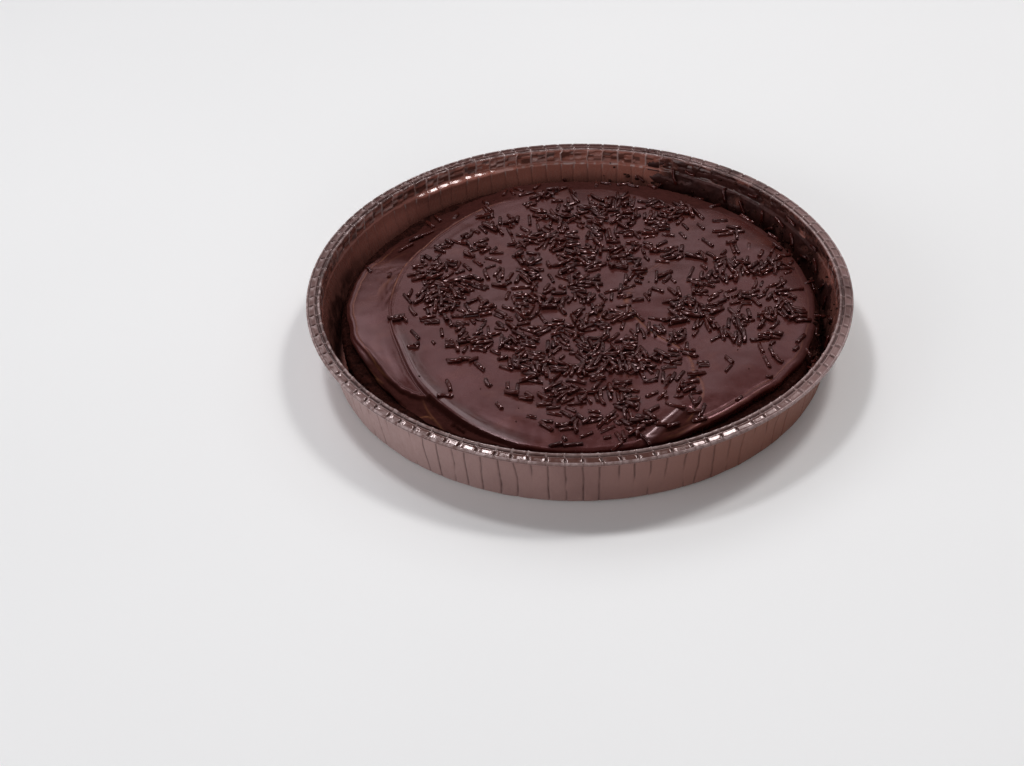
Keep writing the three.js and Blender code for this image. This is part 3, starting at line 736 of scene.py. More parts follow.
# ---------------------------------------------------------------------------
# chocolate strands
# ---------------------------------------------------------------------------
# isolated strands: x, y, direction in degrees, length
PLACED = [
    (-86.4, 28.0, -62, 4.6), (-77.8, 22.4, 80, 3.6), (-57.6, 66.0, -70, 7.6), (-60.6, 61.4, -68, 7.4), (-62.6, 52.6, 24, 7.0),
    (-66.6, 50.2, 18, 6.5), (-71.2, 43.8, 38, 7.4), (-50.0, 65.0, 70, 4.2), (-36.4, 67.0, -68, 5.6), (-37.0, 75.2, -70, 5.0),
    (-74.8, -9.2, -8, 5.0), (-72.4, -8.8, 12, 4.4), (-70.2, -10.2, -52, 3.4), (-73.6, -10.6, 4, 4.0),
    (-66.3, -20.6, -60, 6.2), (-66.8, -28.9, 4, 4.2), (-65.3, -27.2, 62, 3.4), (-58.9, -26.2, -60, 2.2), (-55.3, -20.0, -85, 4.6),
    (-60.0, -11.4, -3, 6.6), (-59.6, -12.9, -2, 6.2), (-61.0, -5.4, -80, 3.6), (-67.3, -4.8, -66, 6.6), (-69.6, 4.4, -62, 7.0),
    (-51.4, -27.4, -6, 4.8), (-51.6, -28.9, -3, 4.6), (-47.4, -27.2, 10, 4.0), (-40.6, -24.4, -8, 7.4), (-42.6, -26.0, -6, 5.6),
    (-49.4, -30.6, -80, 4.2), (-46.0, -31.6, 68, 3.8), (-41.0, -30.0, 12, 3.8), (-51.0, -37.6, -2, 5.0), (-46.4, -38.0, 4, 4.8),
    (-50.2, -39.1, -3, 5.4), (-43.0, -38.4, 38, 4.4), (-40.4, -42.8, -55, 6.2), (-52.4, -53.6, -78, 6.6), (-37.4, -53.4, -65, 4.8),
    (-54.0, -59.7, -11, 6.2), (-33.2, -67.6, -60, 4.2), (-21.4, -74.6, -18, 3.8), (-15.4, -77.8, -8, 4.6), (-16.2, -80.6, -44, 6.2),
    (-9.6, -87.0, -60, 2.4), (-6.6, -89.8, 4, 7.5), (-12.6, -90.0, 8, 5.0),
    (6.4, -87.2, 10, 2.8), (11.0, -86.6, -65, 4.8), (20.6, -88.2, -50, 6.0), (21.6, -79.6, 0, 5.2), (16.0, -76.4, -78, 7.0),
    (17.6, -84.4, -80, 6.0), (5.6, -79.2, 48, 7.6), (8.4, -76.0, 48, 5.0), (2.8, -73.0, -15, 4.4), (33.2, -71.2, -22, 8.0), (34.6, -65.8, -20, 3.0),
    (39.2, -61.2, 30, 5.6), (40.6, -57.4, 20, 6.6), (58.0, -66.6, 50, 3.6), (71.0, -54.0, 5, 2.6), (69.6, -37.6, -80, 6.2),
    (70.9, -45.6, -77, 6.4), (46.2, -45.4, -3, 4.2), (46.4, -46.9, 2, 4.0), (56.6, -44.2, -58, 5.0), (55.8, -49.2, 56, 4.8),
    (36.0, -30.2, -9, 5.6), (53.0, -29.4, 36, 6.2), (52.4, -22.4, -70, 3.2), (61.9, -28.4, -80, 4.6), (68.4, -32.0, 4, 4.8),
    (71.4, -31.4, -8, 4.6), (76.6, -27.2, -16, 6.6), (76.0, -28.7, -14, 6.2), (74.4, -34.2, 46, 3.4), (73.6, -39.8, -78, 5.0),
    (75.9, -44.4, -52, 4.2), (83.4, -36.8, 52, 3.2), (86.4, -30.4, 55, 6.6), (87.4, -11.6, -2, 6.2), (88.2, -13.2, 0, 5.8), (88.6, -15.9, 6, 5.2),
    (84.4, -14.4, -80, 6.2), (80.2, -16.0, -42, 7.0), (81.6, -9.8, 62, 7.6), (79.0, -4.6, -85, 6.2), (88.6, 1.6, 20, 7.4),
    (48.0, 49.4, -64, 4.4), (54.6, 49.4, -60, 5.2), (46.0, 43.0, -64, 5.2), (56.2, 36.4, -56, 7.0), (65.8, 36.2, 8, 4.6),
    (66.2, 31.4, -84, 7.0), (67.6, 30.6, -82, 6.0), (64.8, 22.8, 56, 6.0), (63.4, 17.0, -74, 6.0), (69.0, 15.8, -74, 7.6), (71.2, 23.0, 70, 4.0),
    (73.0, 33.0, 82, 3.2), (79.6, 22.2, 64, 8.0), (77.6, 26.8, 62, 4.8), (86.6, 26.6, 28, 7.2), (82.6, 30.4, 70, 6.0), (85.0, 33.2, -48, 5.0),
    (89.0, 22.0, 60, 4.2), (62.6, 45.2, 8, 6.6), (45.0, 57.2, 46, 7.4), (42.0, 59.2, 2, 5.2), (35.2, 68.0, 34, 6.2), (51.6, 64.4, -50, 6.4),
    (63.4, 53.2, 4, 6.4), (62.4, 67.0, 36, 5.4), (57.0, 75.6, 10, 3.0), (75.0, 57.0, -48, 7.6), (24.0, 76.0, 62, 5.6), (18.4, 73.6, -4, 5.0),
    (11.6, 73.4, -48, 7.4), (2.0, 74.4, -70, 7.6), (5.4, 67.6, -22, 5.6), (-3.4, 83.0, 30, 5.0), (-14.0, 86.0, 60, 5.4), (-22.0, 84.4, -50, 6.0),
    (-19.6, 79.2, 20, 6.4), (-24.6, 81.8, -74, 5.6), (-28.6, 83.0, 78, 6.4), (12.0, 87.4, 86, 4.6), (24.4, 86.6, 16, 6.4), (28.0, 84.6, -30, 5.0), (36.6, 84.8, -60, 5.6),
    (1.6, 78.6, -72, 6.6), (-8.6, 77.4, 58, 6.2),
]
# bare patches: x, y, half widths, share of the strands missing
BARE = [
    (-33, 45, 7, 6, 1), (-52, 48, 6, 5, .9), (-16, 56, 6, 8, .8), (-24, 65, 6, 5, .9), (6, 79, 15, 6.5, 1), (26, 79, 10, 5, .8),
    (-28, 28, 5, 7, .8), (-28, 17, 4, 6, .7), (-38, 25, 4, 4, .7), (-42, 4, 5, 4.5, .9), (-32, -1, 6, 5, .9), (-70, 30, 4, 6, 1),
    (-72, 0, 5, 24, 1), (-64, -3, 5, 6, .5), (30, 51, 6, 6, .9), (52, 47, 13, 11, 1), (60, 36, 13, 9, .9), (72, 28, 9, 9, .8), (15, 14, 6, 5, .8),
    (28, 8, 6, 6, .8), (31, 22, 5, 4, .5), (12, -7, 4, 6, .8), (29, -7, 7, 7, .8), (25, -28, 8, 5, .7), (52, -42, 14, 14, 1), (46, -27, 7, 8, .7),
    (63, -55, 18, 17, 1), (47, -65, 7, 8, 1), (50, -56, 6, 5, .7), (72, -38, 11, 8, .9), (84, -36, 8, 12, .9), (31, -41, 4, 4, .5), (25, -64, 7, 8, .8), (33, -74, 8, 9, .9), (8, -69, 5, 5, .6), (-28, -72, 10, 12, 1),
    (-52, -55, 20, 23, 1), (-62, -24, 12, 15, 1), (-40, -34, 7, 6, .7), (-38, -50, 9, 10, 1), (22, -87, 16, 4, .5), (-14, -90, 22, 5, .9),
    (-6, -6, 4, 4, .3), (40, 36, 5, 4, .3), (58, 4, 4, 5, .3), (70, -22, 5, 4, .3), (-10, 30, 4, 5, .4), (-2, 52, 4, 4, .3), (20, 38, 4, 4, .3), (42, 13, 5, 4, .3),
    (-20, 44, 5, 5, .6), (-62, 30, 4, 4, .4), (-48, 30, 3, 4, .4), (0, -24, 4, 4, .3), (80, 8, 5, 6, .4), (60, -12, 4, 5, .3), (-45, 66, 9, 6, .5),
]
# places where they lie thick: x, y, half widths, extra
THICK = [
    (-56, 22, 10, 9, .5), (-50, 8, 9, 8, .5), (-48, 12, 8, 6, .4), (-44, -8, 8, 6, .3), (-24, -8, 8, 7, .4), (-16, -14, 9, 7, .3), (-10, 48, 9, 7, .5), (0, 24, 9, 10, .5),
    (-4, 34, 7, 6, .5), (12, 56, 9, 8, .4), (22, 50, 8, 7, .4), (-40, 56, 8, 9, .3), (36, 58, 6, 5, .5), (8, 66, 12, 5, .3), (-16, 72, 8, 5, .3), (36, 42, 6, 7, .4),
    (16, 24, 8, 6, .2), (44, 20, 8, 7, .3), (52, 4, 7, 11, .6), (56, -12, 6, 9, .5), (66, -8, 7, 8, .4), (14, 0, 6, 6, .3), (2, 2, 7, 6, .3), (8, -24, 8, 8, .2),
    (-10, -34, 14, 9, .4), (4, -44, 12, 8, .4), (20, -46, 9, 9, .6), (-22, -60, 9, 6, .4), (-12, -56, 9, 8, .4), (-12, -72, 7, 7, .3), (2, -58, 8, 5, .3), (14, -58, 6, 8, .2),
    (4, -80, 9, 5, .4), (-24, -44, 8, 7, .3), (-30, 8, 6, 8, .3), (-14, 26, 7, 5, .3), (-62, 14, 5, 6, .3), (72, 4, 8, 8, .3), (84, 12, 6, 8, .3), (86, 2, 5, 7, .2),
]


def strand_density(x, y):
    """Wanted strands per square millimetre."""
    r = np.hypot(x, y)
    deg = np.degrees(np.arctan2(y, x)) % 360
    s, u = to_line(RIDGE, x, y)
    inside = ease((-s - 1.5) / 5.0)
    # the fall of strands ends on a slanted line at the lower left and short of the edge elsewhere
    low_left = ease(((x + 46) * 0.80 + (y + 34) * 0.60 + 2.0) / 6.0)
    low_left = np.where((y > -22), 1.0, low_left)
    rim = ease((91.0 - r) / 4.0)
    back = 1 - 0.90 * ease((r - 80) / 4) * ease((deg - 12) / 8) * ease((124 - deg) / 10)
    dens = 0.058 * inside * low_left * rim * back
    right = ease((x - 62) / 14)
    dens = dens * (1 - 0.30 * right)
    for cx, cy, rx, ry, k in THICK:
        dens = dens * (1 + k * np.exp(-(((x - cx) / rx) ** 2 + ((y - cy) / ry) ** 2)))
    for cx, cy, rx, ry, k in BARE:
        q = ((x - cx) / rx) ** 2 + ((y - cy) / ry) ** 2
        dens = dens * (1 - k * (1 - ease((q - 0.55) / 0.7)))
    return dens


class Bed:
    """The top surface as it fills up, so that each strand lies on what is there."""

    def __init__(self, step=0.4, half=104.0):
        self.step, self.half = step, half
        n = int(2 * half / step) + 1
        g = -half + step * np.arange(n)
        self.n = n
        xx, yy = np.meshgrid(g, g)
        h = ganache_top(xx, yy)[0]
        r = np.hypot(xx, yy)
        e = edge_r(np.arctan2(yy, xx))
        cake = np.where(r < 97.0, 15.4 - 3.0 * ease((r - 94.0) / 3.5), 4.0)
        wall_z = np.clip((r - 99.0) / 0.179, 0.7, 21.0)
        self.h = np.where(r <= e, h, np.maximum(cake, np.where(r > 99.3, wall_z, 0.0)))
        self.ground = self.h.copy()

    def at(self, x, y):
        i = np.clip(np.rint((np.asarray(x) + self.half) / self.step).astype(int), 0, self.n - 1)
        j = np.clip(np.rint((np.asarray(y) + self.half) / self.step).astype(int), 0, self.n - 1)
        return self.h[j, i]

    def ground_at(self, x, y):
        i = np.clip(np.rint((np.asarray(x) + self.half) / self.step).astype(int), 0, self.n - 1)
        j = np.clip(np.rint((np.asarray(y) + self.half) / self.step).astype(int), 0, self.n - 1)
        return self.ground[j, i]

    def cover(self, pts, rad):
        """Raise the surface to the top of a round rod along pts."""
        for p, q in zip(pts[:-1], pts[1:]):
            m = int(np.linalg.norm(q - p) / (self.step * 0.7)) + 1
            for t in np.linspace(0, 1, m + 1):
                c = p + (q - p) * t
                i0 = int(round((c[0] + self.half) / self.step))
                j0 = int(round((c[1] + self.half) / self.step))
                w = int(rad / self.step) + 1
                for j in range(max(0, j0 - w), min(self.n, j0 + w + 1)):
                    for i in range(max(0, i0 - w), min(self.n, i0 + w + 1)):
                        dx = -self.half + i * self.step - c[0]
                        dy = -self.half + j * self.step - c[1]
                        q2 = rad * rad - dx * dx - dy * dy
                        if q2 > 0:
                            top = c[2] + math.sqrt(q2)
                            if top > self.h[j, i]:
                                self.h[j, i] = top


def lay_strand(bed, x, y, ang, length, rad, rng, sink=0.34):
    """Centre line of a strand that comes to rest on the bed, pressed a little into it."""
    n = 9
    t = np.linspace(-0.5, 0.5, n) * length
    bend = rng.normal(0.0, 0.020) * length
    if rng.random() < 0.07:
        bend = rng.choice([-1, 1]) * rng.uniform(0.08, 0.15) * length
    off = bend * (4 * (t / length) ** 2 - 0.33)
    ca, sa = math.cos(ang), math.sin(ang)
    px = x + t * ca - off * sa
    py = y + t * sa + off * ca
    # the ground under the rod, at its middle and flanks; the heap never grows past a second layer
    low = bed.ground_at(px, py)
    need = bed.at(px, py)
    for side in (-0.5, 0.5):
        fx, fy = px - side * rad * sa, py + side * rad * ca
        need = np.maximum(need, bed.at(fx, fy) - 0.14 * rad)
    need = low + np.minimum(need - low, 0.85)
    # it tips until two points hold it, one on each side of its middle
    best = None
    for i in range(n):
        for j in range(i + 1, n):
            if t[i] > 0.05 * length or t[j] < -0.05 * length:
                continue
            slope = (need[j] - need[i]) / (t[j] - t[i])
            line = need[i] + slope * (t - t[i])
            over = (need - line).max()
            mid = need[i] - slope * t[i]
            score = over * 10 + mid
            if best is None or score < best[0]:
                best = (score, slope, mid + max(0.0, over))
    _, slope, mid = best
    slope = float(np.clip(slope, -0.24, 0.24))
    line = mid + slope * t
    line = line + 0.6 * max(0.0, (need - line).max())
    z = line + rad - sink
    return np.stack([px, py, z], -1)


def rod_mesh(pts, rad, rng):
    """A rod with four or five flats, softly rounded corners and blunt, slightly uneven ends."""
    p = np.asarray(pts, float)
    bent = np.linalg.norm(p[4] - 0.5 * (p[0] + p[8])) > 0.045 * np.linalg.norm(p[8] - p[0])
    p = p[[0, 2, 4, 6, 8]] if bent else p[[0, 4, 8]]
    flats = int(rng.choice([4, 5, 5]))
    # two points on each flat and one on each corner
    corner = TAU / flats
    ang, out = [], []
    half = corner / 2 * 0.60
    apothem = math.cos(corner / 2 * 0.76)
    for k in range(flats):
        for q in (-half, half):
            ang.append(k * corner + q)
            out.append(apothem / math.cos(q))
        ang.append(k * corner + corner / 2)
        out.append(1.0 if flats > 4 else 0.99)
    roll = rng.normal(0.0, 0.12) if rng.random() < 0.15 else rng.uniform(-0.55, 0.55)
    # some of those that lie square to a lamp turn a flat to it
    chance, jit = rng.random(), rng.normal(0.0, 0.035)
    across = np.array([p[-1][1] - p[0][1], p[0][0] - p[-1][0]])
    across = across / max(1e-6, np.hypot(*across))
    for lamp, odds in (((0.485, -0.875), 0.55), ((-0.445, -0.895), 0.14)):
        c = float(across @ np.array(lamp))
        if abs(c) > 0.962 and chance < odds:
            roll = (-0.395 if c > 0 else 0.395) + jit
    ang, out = np.array(ang) + math.pi / 2 + roll, np.array(out) * (1 + 0.015 * rng.normal(size=len(out)))
    out = out * (1.0 + 0.07 * np.cos(2 * ang + rng.uniform(0, TAU)))
    sides = len(ang)
    tan = np.gradient(p, axis=0)
    tan = tan / np.linalg.norm(tan, axis=1)[:, None]
    up = np.array([0, 0, 1.0]) if abs(tan[0][2]) < 0.9 else np.array([1.0, 0, 0])
    ring_c, ring_r, ring_t = [], [], []
    e0, e1 = rng.uniform(0.08, 0.18), rng.uniform(0.08, 0.18)
    for k in range(len(p)):
        if k == 0:
            ring_c += [p[0], p[0] + tan[0] * rad * e0]
            ring_r += [0.86, 1.0]
            ring_t += [tan[0]] * 2
        elif k == len(p) - 1:
            ring_c += [p[k] - tan[k] * rad * e1, p[k]]
            ring_r += [1.0, 0.86]
            ring_t += [tan[k]] * 2
        else:
            ring_c.append(p[k]); ring_r.append(1.0 + rng.normal(0, 0.02)); ring_t.append(tan[k])
    verts = []
    cut0, cut1 = rng.normal(0, 0.20, 2), rng.normal(0, 0.20, 2)
    for k, (c, q, tt) in enumerate(zip(ring_c, ring_r, ring_t)):
        u = np.cross(tt, up); u /= np.linalg.norm(u)
        v = np.cross(u, tt)
        ring = c + rad * q * out[:, None] * (np.cos(ang)[:, None] * u + np.sin(ang)[:, None] * v)
        if k < 2:
            ring = ring + tt * rad * (cut0[0] * np.cos(ang) + cut0[1] * np.sin(ang))[:, None]
        if k >= len(ring_c) - 2:
            ring = ring + tt * rad * (cut1[0] * np.cos(ang) + cut1[1] * np.sin(ang))[:, None]
        verts.append(ring)
    m = len(ring_c)
    verts = np.concatenate(verts)
    tip0 = ring_c[0] + ring_t[0] * rad * rng.uniform(-0.06, 0.10)
    tip1 = ring_c[-1] - ring_t[-1] * rad * rng.uniform(-0.06, 0.10)
    verts = np.vstack([verts, tip0, tip1])
    # rings go round so that the faces look out
    i = np.arange(m - 1)[:, None]
    j = np.arange(sides)[None, :]
    j2 = (j + 1) % sides
    quads = np.stack([i * sides + j, (i + 1) * sides + j, (i + 1) * sides + j2, i * sides + j2], -1).reshape(-1, 4)
    jj = np.arange(sides)
    t0 = np.stack([np.full(sides, m * sides), jj, (jj + 1) % sides], -1)
    b = (m - 1) * sides
    t1 = np.stack([np.full(sides, m * sides + 1), b + (jj + 1) % sides, b + jj], -1)
    return verts, quads, np.vstack([t0, t1])


def join_parts(parts):
    vs, qs, ts, ids, at = [], [], [], [], 0
    for n, (v, q, t) in enumerate(parts):
        vs.append(v); qs.append(q + at); ts.append(t + at); ids.append(np.full(len(v), n)); at += len(v)
    return np.concatenate(vs), np.concatenate(qs), np.concatenate(ts), np.concatenate(ids)


def case_point(deg, z, proud=0.0):
    a = math.radians(deg)
    r = float(wall_in_r(min(z, 20.5))) if z < 21.2 else 104.0
    r = r + float(slow_wave(a)) * float(ease(z / 20.0)) - proud
    return np.array([r * math.cos(a), r * math.sin(a), z])


def build_strands():
    rng = np.random.default_rng(SEED + 7)
    bed = Bed()
    todo = []
    cell = 2.0
    for gy in np.arange(-96, 96, cell):
        gx = np.arange(-96, 96, cell)
        dens = strand_density(gx + 1.0, np.full(gx.shape, gy + 1.0))
        for x0, q in zip(gx, dens):
            for _ in range(rng.poisson(max(0.0, q) * cell * cell)):
                todo.append((x0 + rng.uniform(0, cell), gy + rng.uniform(0, cell)))
    todo = np.array(todo)
    rng.shuffle(todo)
    # some gather against their neighbours
    moved = todo.copy()
    for k in range(len(todo)):
        if rng.random() < 0.10:
            d = np.hypot(todo[:, 0] - todo[k, 0], todo[:, 1] - todo[k, 1])
            d[k] = 99
            m = int(np.argmin(d))
            if d[m] < 6:
                moved[k] = todo[k] + (todo[m] - todo[k]) * rng.uniform(0.3, 0.6)
    parts = []

    def put(x, y, ang, length, rad=None, sink=0.62):
        rad = rad or float(np.clip(rng.normal(0.84, 0.07), 0.66, 1.0))
        pts = lay_strand(bed, x, y, ang, length, rad, rng, sink)
        bed.cover(pts, rad)
        parts.append(rod_mesh(pts, rad, rng))

    for x, y, deg, length in PLACED:
        put(x + rng.normal(0, 0.15), y + rng.normal(0, 0.15), math.radians(deg), length)
    for x, y in moved:
        length = float(np.clip(rng.normal(5.4, 1.2), 2.4, 8.2))
        # of a few ways to lie, the flattest
        best = None
        for _ in range(14):
            ang = rng.uniform(0, math.pi)
            cx, cy = x + rng.normal(0, 1.2), y + rng.normal(0, 1.2)
            t = np.linspace(-0.5, 0.5, 7) * length
            qx, qy = cx + t * math.cos(ang), cy + t * math.sin(ang)
            up = np.minimum(bed.at(qx, qy) - bed.ground_at(qx, qy), 1.6).mean() + rng.uniform(0, 0.30)
            if best is None or up < best[0]:
                best = (up, cx, cy, ang)
        put(best[1], best[2], best[3], length)
    free = len(parts)

    # strands caught in the gap and on the wall at the back right
    for _ in range(30):
        deg = rng.uniform(-26, 78) if rng.random() < 0.8 else rng.uniform(80, 108)
        a = math.radians(deg)
        rr = rng.uniform(94.5, 99.5)
        put(rr * math.cos(a), rr * math.sin(a), a + math.pi / 2 + rng.normal(0, 0.55), float(rng.uniform(3.2, 5.6)), rad=0.7, sink=0.15)
    stuck = [(62.8, 19.6, 68, 7.0, 0.5), (48.6, 18.4, 75, 6.4, 0.8), (55.4, 12.0, 20, 5.6, 0.5), (43.0, 16.6, 52, 6.0, 0.5), (36.2, 17.4, 80, 5.2, 0.5), (30.2, 20.2, 15, 6.4, 0.8),
             (33.2, 14.2, -35, 5.4, 0.5), (24.4, 17.0, 60, 5.6, 0.5), (18.6, 15.2, -20, 5.6, 0.5), (12.2, 18.2, 40, 6.2, 0.5), (6.4, 14.4, -60, 5.0, 0.5), (66.6, 13.4, -48, 5.2, 0.5),
             (71.4, 16.2, 30, 4.6, 0.5), (58.8, 22.6, 10, 4.8, 0.7), (40.4, 23.6, -12, 5.4, 0.7), (26.6, 23.8, 8, 5.8, 0.7), (15.4, 22.8, -6, 5.0, 0.7), (51.6, 8.4, -70, 5.0, 0.5), (38.6, 9.6, 15, 5.4, 0.5),
             (20.2, 9.8, 80, 5.0, 0.5), (9.6, 9.2, 20, 5.4, 0.5), (1.6, 12.6, 70, 5.4, 0.5), (-6.4, 14.8, -30, 5.2, 0.5), (-13.2, 11.6, 50, 5.6, 0.5), (76.2, 9.4, 12, 5.4, 0.5), (90.6, 12.2, 78, 4.6, 0.5)]
    for deg, z, turn, length, proud in stuck:
        n = 9
        t = np.linspace(-0.5, 0.5, n) * length
        rad = float(rng.uniform(0.6, 0.74))
        bow = rng.normal(0, 0.07) * length
        pts = []
        for q in t:
            side = q * math.cos(math.radians(turn)) - bow * (4 * (q / length) ** 2) * math.sin(math.radians(turn))
            rise = q * math.sin(math.radians(turn)) + bow * (4 * (q / length) ** 2) * math.cos(math.radians(turn))
            pts.append(case_point(deg + math.degrees(side / 102.0), z + rise, rad + proud * 0.3))
        parts.append(rod_mesh(np.array(pts), rad, rng))
    v, q, t, ids = join_parts(parts)
    tone = rng.random(len(parts))[ids]
    # the ends are cut sharp: their faces, and the narrow rings beside them, are flat
    flat_q = []
    for pv, pq, pt in parts:
        sides = len(pt) // 2
        flag = np.ones(len(pq), bool)
        flag[:sides] = False
        flag[-sides:] = False
        flat_q.append(flag)
    smooth = np.concatenate(flat_q + [np.zeros(len(t), bool)])
    obj = mesh_object("chocolate_strands", v, [q, t], smooth=smooth, attributes={"tone": tone})
    return obj, bed


# ---------------------------------------------------------------------------
# crumbs and smears
# ---------------------------------------------------------------------------
def crumb_mesh(centre, size, rng):
    """A small uneven lump: a cube ball with 3 x 3 faces a side pushed about."""
    n = 3
    g = np.linspace(-1, 1, n + 1)
    verts, quads, at = [], [], 0
    for axis in range(3):
        for sign in (-1, 1):
            u, v = np.meshgrid(g, g, indexing="ij")
            w = np.full(u.shape, float(sign))
            p = [None, None, None]
            p[axis] = w
            p[(axis + 1) % 3] = u
            p[(axis + 2) % 3] = v
            p = np.stack(p, -1).reshape(-1, 3)
            verts.append(p)
            i, j = np.meshgrid(np.arange(n), np.arange(n), indexing="ij")
            q = np.stack([i * (n + 1) + j, (i + 1) * (n + 1) + j, (i + 1) * (n + 1) + j + 1, i * (n + 1) + j + 1], -1).reshape(-1, 4)
            if sign < 0:
                q = q[:, ::-1]
            quads.append(q + at)
            at += len(p)
    v = np.concatenate(verts)
    q = np.concatenate(quads)
    key = np.round(v * 6).astype(int)
    _, first, inverse = np.unique(key, axis=0, return_index=True, return_inverse=True)
    v = v[first]
    q = inverse.reshape(-1)[q]
    v = v / np.linalg.norm(v, axis=1)[:, None]
    s = rng.uniform(0, 100)
    v = v * (1 + 0.38 * vnoise3(v[:, 0] * 1.3 + s, v[:, 1] * 1.3 + s, v[:, 2] * 1.3, 71))[:, None]
    v = v * size * np.array([1.0, rng.uniform(0.6, 1.0), rng.uniform(0.5, 0.8)])
    a = rng.uniform(0, TAU)
    rot = np.array([[math.cos(a), -math.sin(a), 0], [math.sin(a), math.cos(a), 0], [0, 0, 1]])
    return v @ rot.T + np.asarray(centre), q, np.zeros((0, 3), int)


def build_crumbs(bed):
    rng = np.random.default_rng(SEED + 13)
    parts = []
    for _ in range(150):   # in the gap and against the wall at the right and back right
        deg = rng.uniform(-38, 84) if rng.random() < 0.8 else rng.uniform(84, 150)
        a = math.radians(deg)
        rr = rng.uniform(95.0, 99.6)
        x, y = rr * math.cos(a), rr * math.sin(a)
        s = float(rng.uniform(0.35, 1.15))
        parts.append(crumb_mesh((x, y, float(bed.at(x, y)) + 0.35 * s), s, rng))
    for _ in range(85):    # stuck on the wall
        deg = rng.uniform(-8, 82)
        z = float(np.clip(rng.normal(14.5, 5.0), 5.0, 25.5))
        s = float(rng.uniform(0.3, 0.95))
        parts.append(crumb_mesh(case_point(deg, z, 0.25 * s), s, rng))
    for _ in range(60):    # on the cake's bare shoulder at the left
        deg = rng.uniform(160, 238)
        a = math.radians(deg)
        rr = rng.uniform(94.8, 96.8)
        s = float(rng.uniform(0.25, 0.7))
        x, y = rr * math.cos(a), rr * math.sin(a)
        parts.append(crumb_mesh((x, y, 15.3 - 3.0 * float(ease((rr - 94.0) / 3.6))), s, rng))
    for _ in range(46):    # specks on the layer
        r0, a = 88 * math.sqrt(rng.random()), rng.uniform(0, TAU)
        x, y = r0 * math.cos(a), r0 * math.sin(a)
        s = float(rng.uniform(0.22, 0.5))
        parts.append(crumb_mesh((x, y, float(bed.at(x, y)) + 0.25 * s), s, rng))
    v, q, t, ids = join_parts(parts)
    return mesh_object("cake_crumbs", v, [q], attributes={"tone": rng.random(len(parts))[ids]})


def build_smears():
    """Ganache wiped onto the inside of the wall at the back right, and a dab on the lip."""
    rng = np.random.default_rng(SEED + 17)
    degs = np.arange(-16.0, 84.0, 0.42)
    zs = np.arange(4.5, 26.6, 0.62)
    dd, zz = np.meshgrid(degs, zs)
    n = fbm(dd / 5.2 + zz / 14.0, zz / 4.4, 4, 81)
    zone = ease((dd + 14) / 16) * ease((71.0 - dd) / 5) * ease((26.4 - zz) / 2.0) * ease((zz - 4.6) / 1.2)
    heavy = 0.16 * ease((dd - 20) / 10) * ease((72 - dd) / 10) + 0.12 * ease((14 - zz) / 6)
    t = (n + heavy - 0.02) * 3.4 * zone - 0.25 * (1 - zone)
    t = np.minimum(t, 1.0)
    a = np.radians(dd)
    r = np.where(zz < 21.2, wall_in_r(np.minimum(zz, 20.3)), 103.95) + slow_wave(a) * ease(zz / 20)
    proud = np.where(t > 0, 0.08 + 0.17 * np.sqrt(np.maximum(t, 0)) + 0.06 * fbm(dd / 1.3, zz / 1.3, 3, 82), -0.25)
    rr = r - proud
    v = np.stack([rr * np.cos(a), rr * np.sin(a), zz], -1).reshape(-1, 3)
    h, w = dd.shape
    i, j = np.meshgrid(np.arange(h - 1), np.arange(w - 1), indexing="ij")
    q = np.stack([i * w + j, (i + 1) * w + j, (i + 1) * w + j + 1, i * w + j + 1], -1).reshape(-1, 4)
    on = (t.reshape(-1)[q] > 0).any(axis=1)
    q = q[on]
    parts = [(v, q, np.zeros((0, 3), int))]
    # dab on the lip at the back right, and small ones beside it
    for deg, rad, size in ((70.6, 106.6, 1.5), (69.4, 107.4, 1.2), (71.8, 105.6, 1.1), (68.4, 106.0, 0.8), (66.2, 105.2, 0.7), (52.0, 105.4, 0.8), (38.5, 106.4, 0.6), (27.5, 105.2, 0.7)):
        a = math.radians(deg)
        c, qq, tt = crumb_mesh((0, 0, 0), size, rng)
        c = c * np.array([1.0, 1.0, 0.45]) + np.array([rad * math.cos(a), rad * math.sin(a), 27.45])
        parts.append((c, qq, tt))
    vs, qs, _, _ = join_parts(parts)
    used = np.unique(qs)
    remap = np.full(len(vs), -1)
    remap[used] = np.arange(len(used))
    return mesh_object("ganache_smears", vs[used], [remap[qs]])


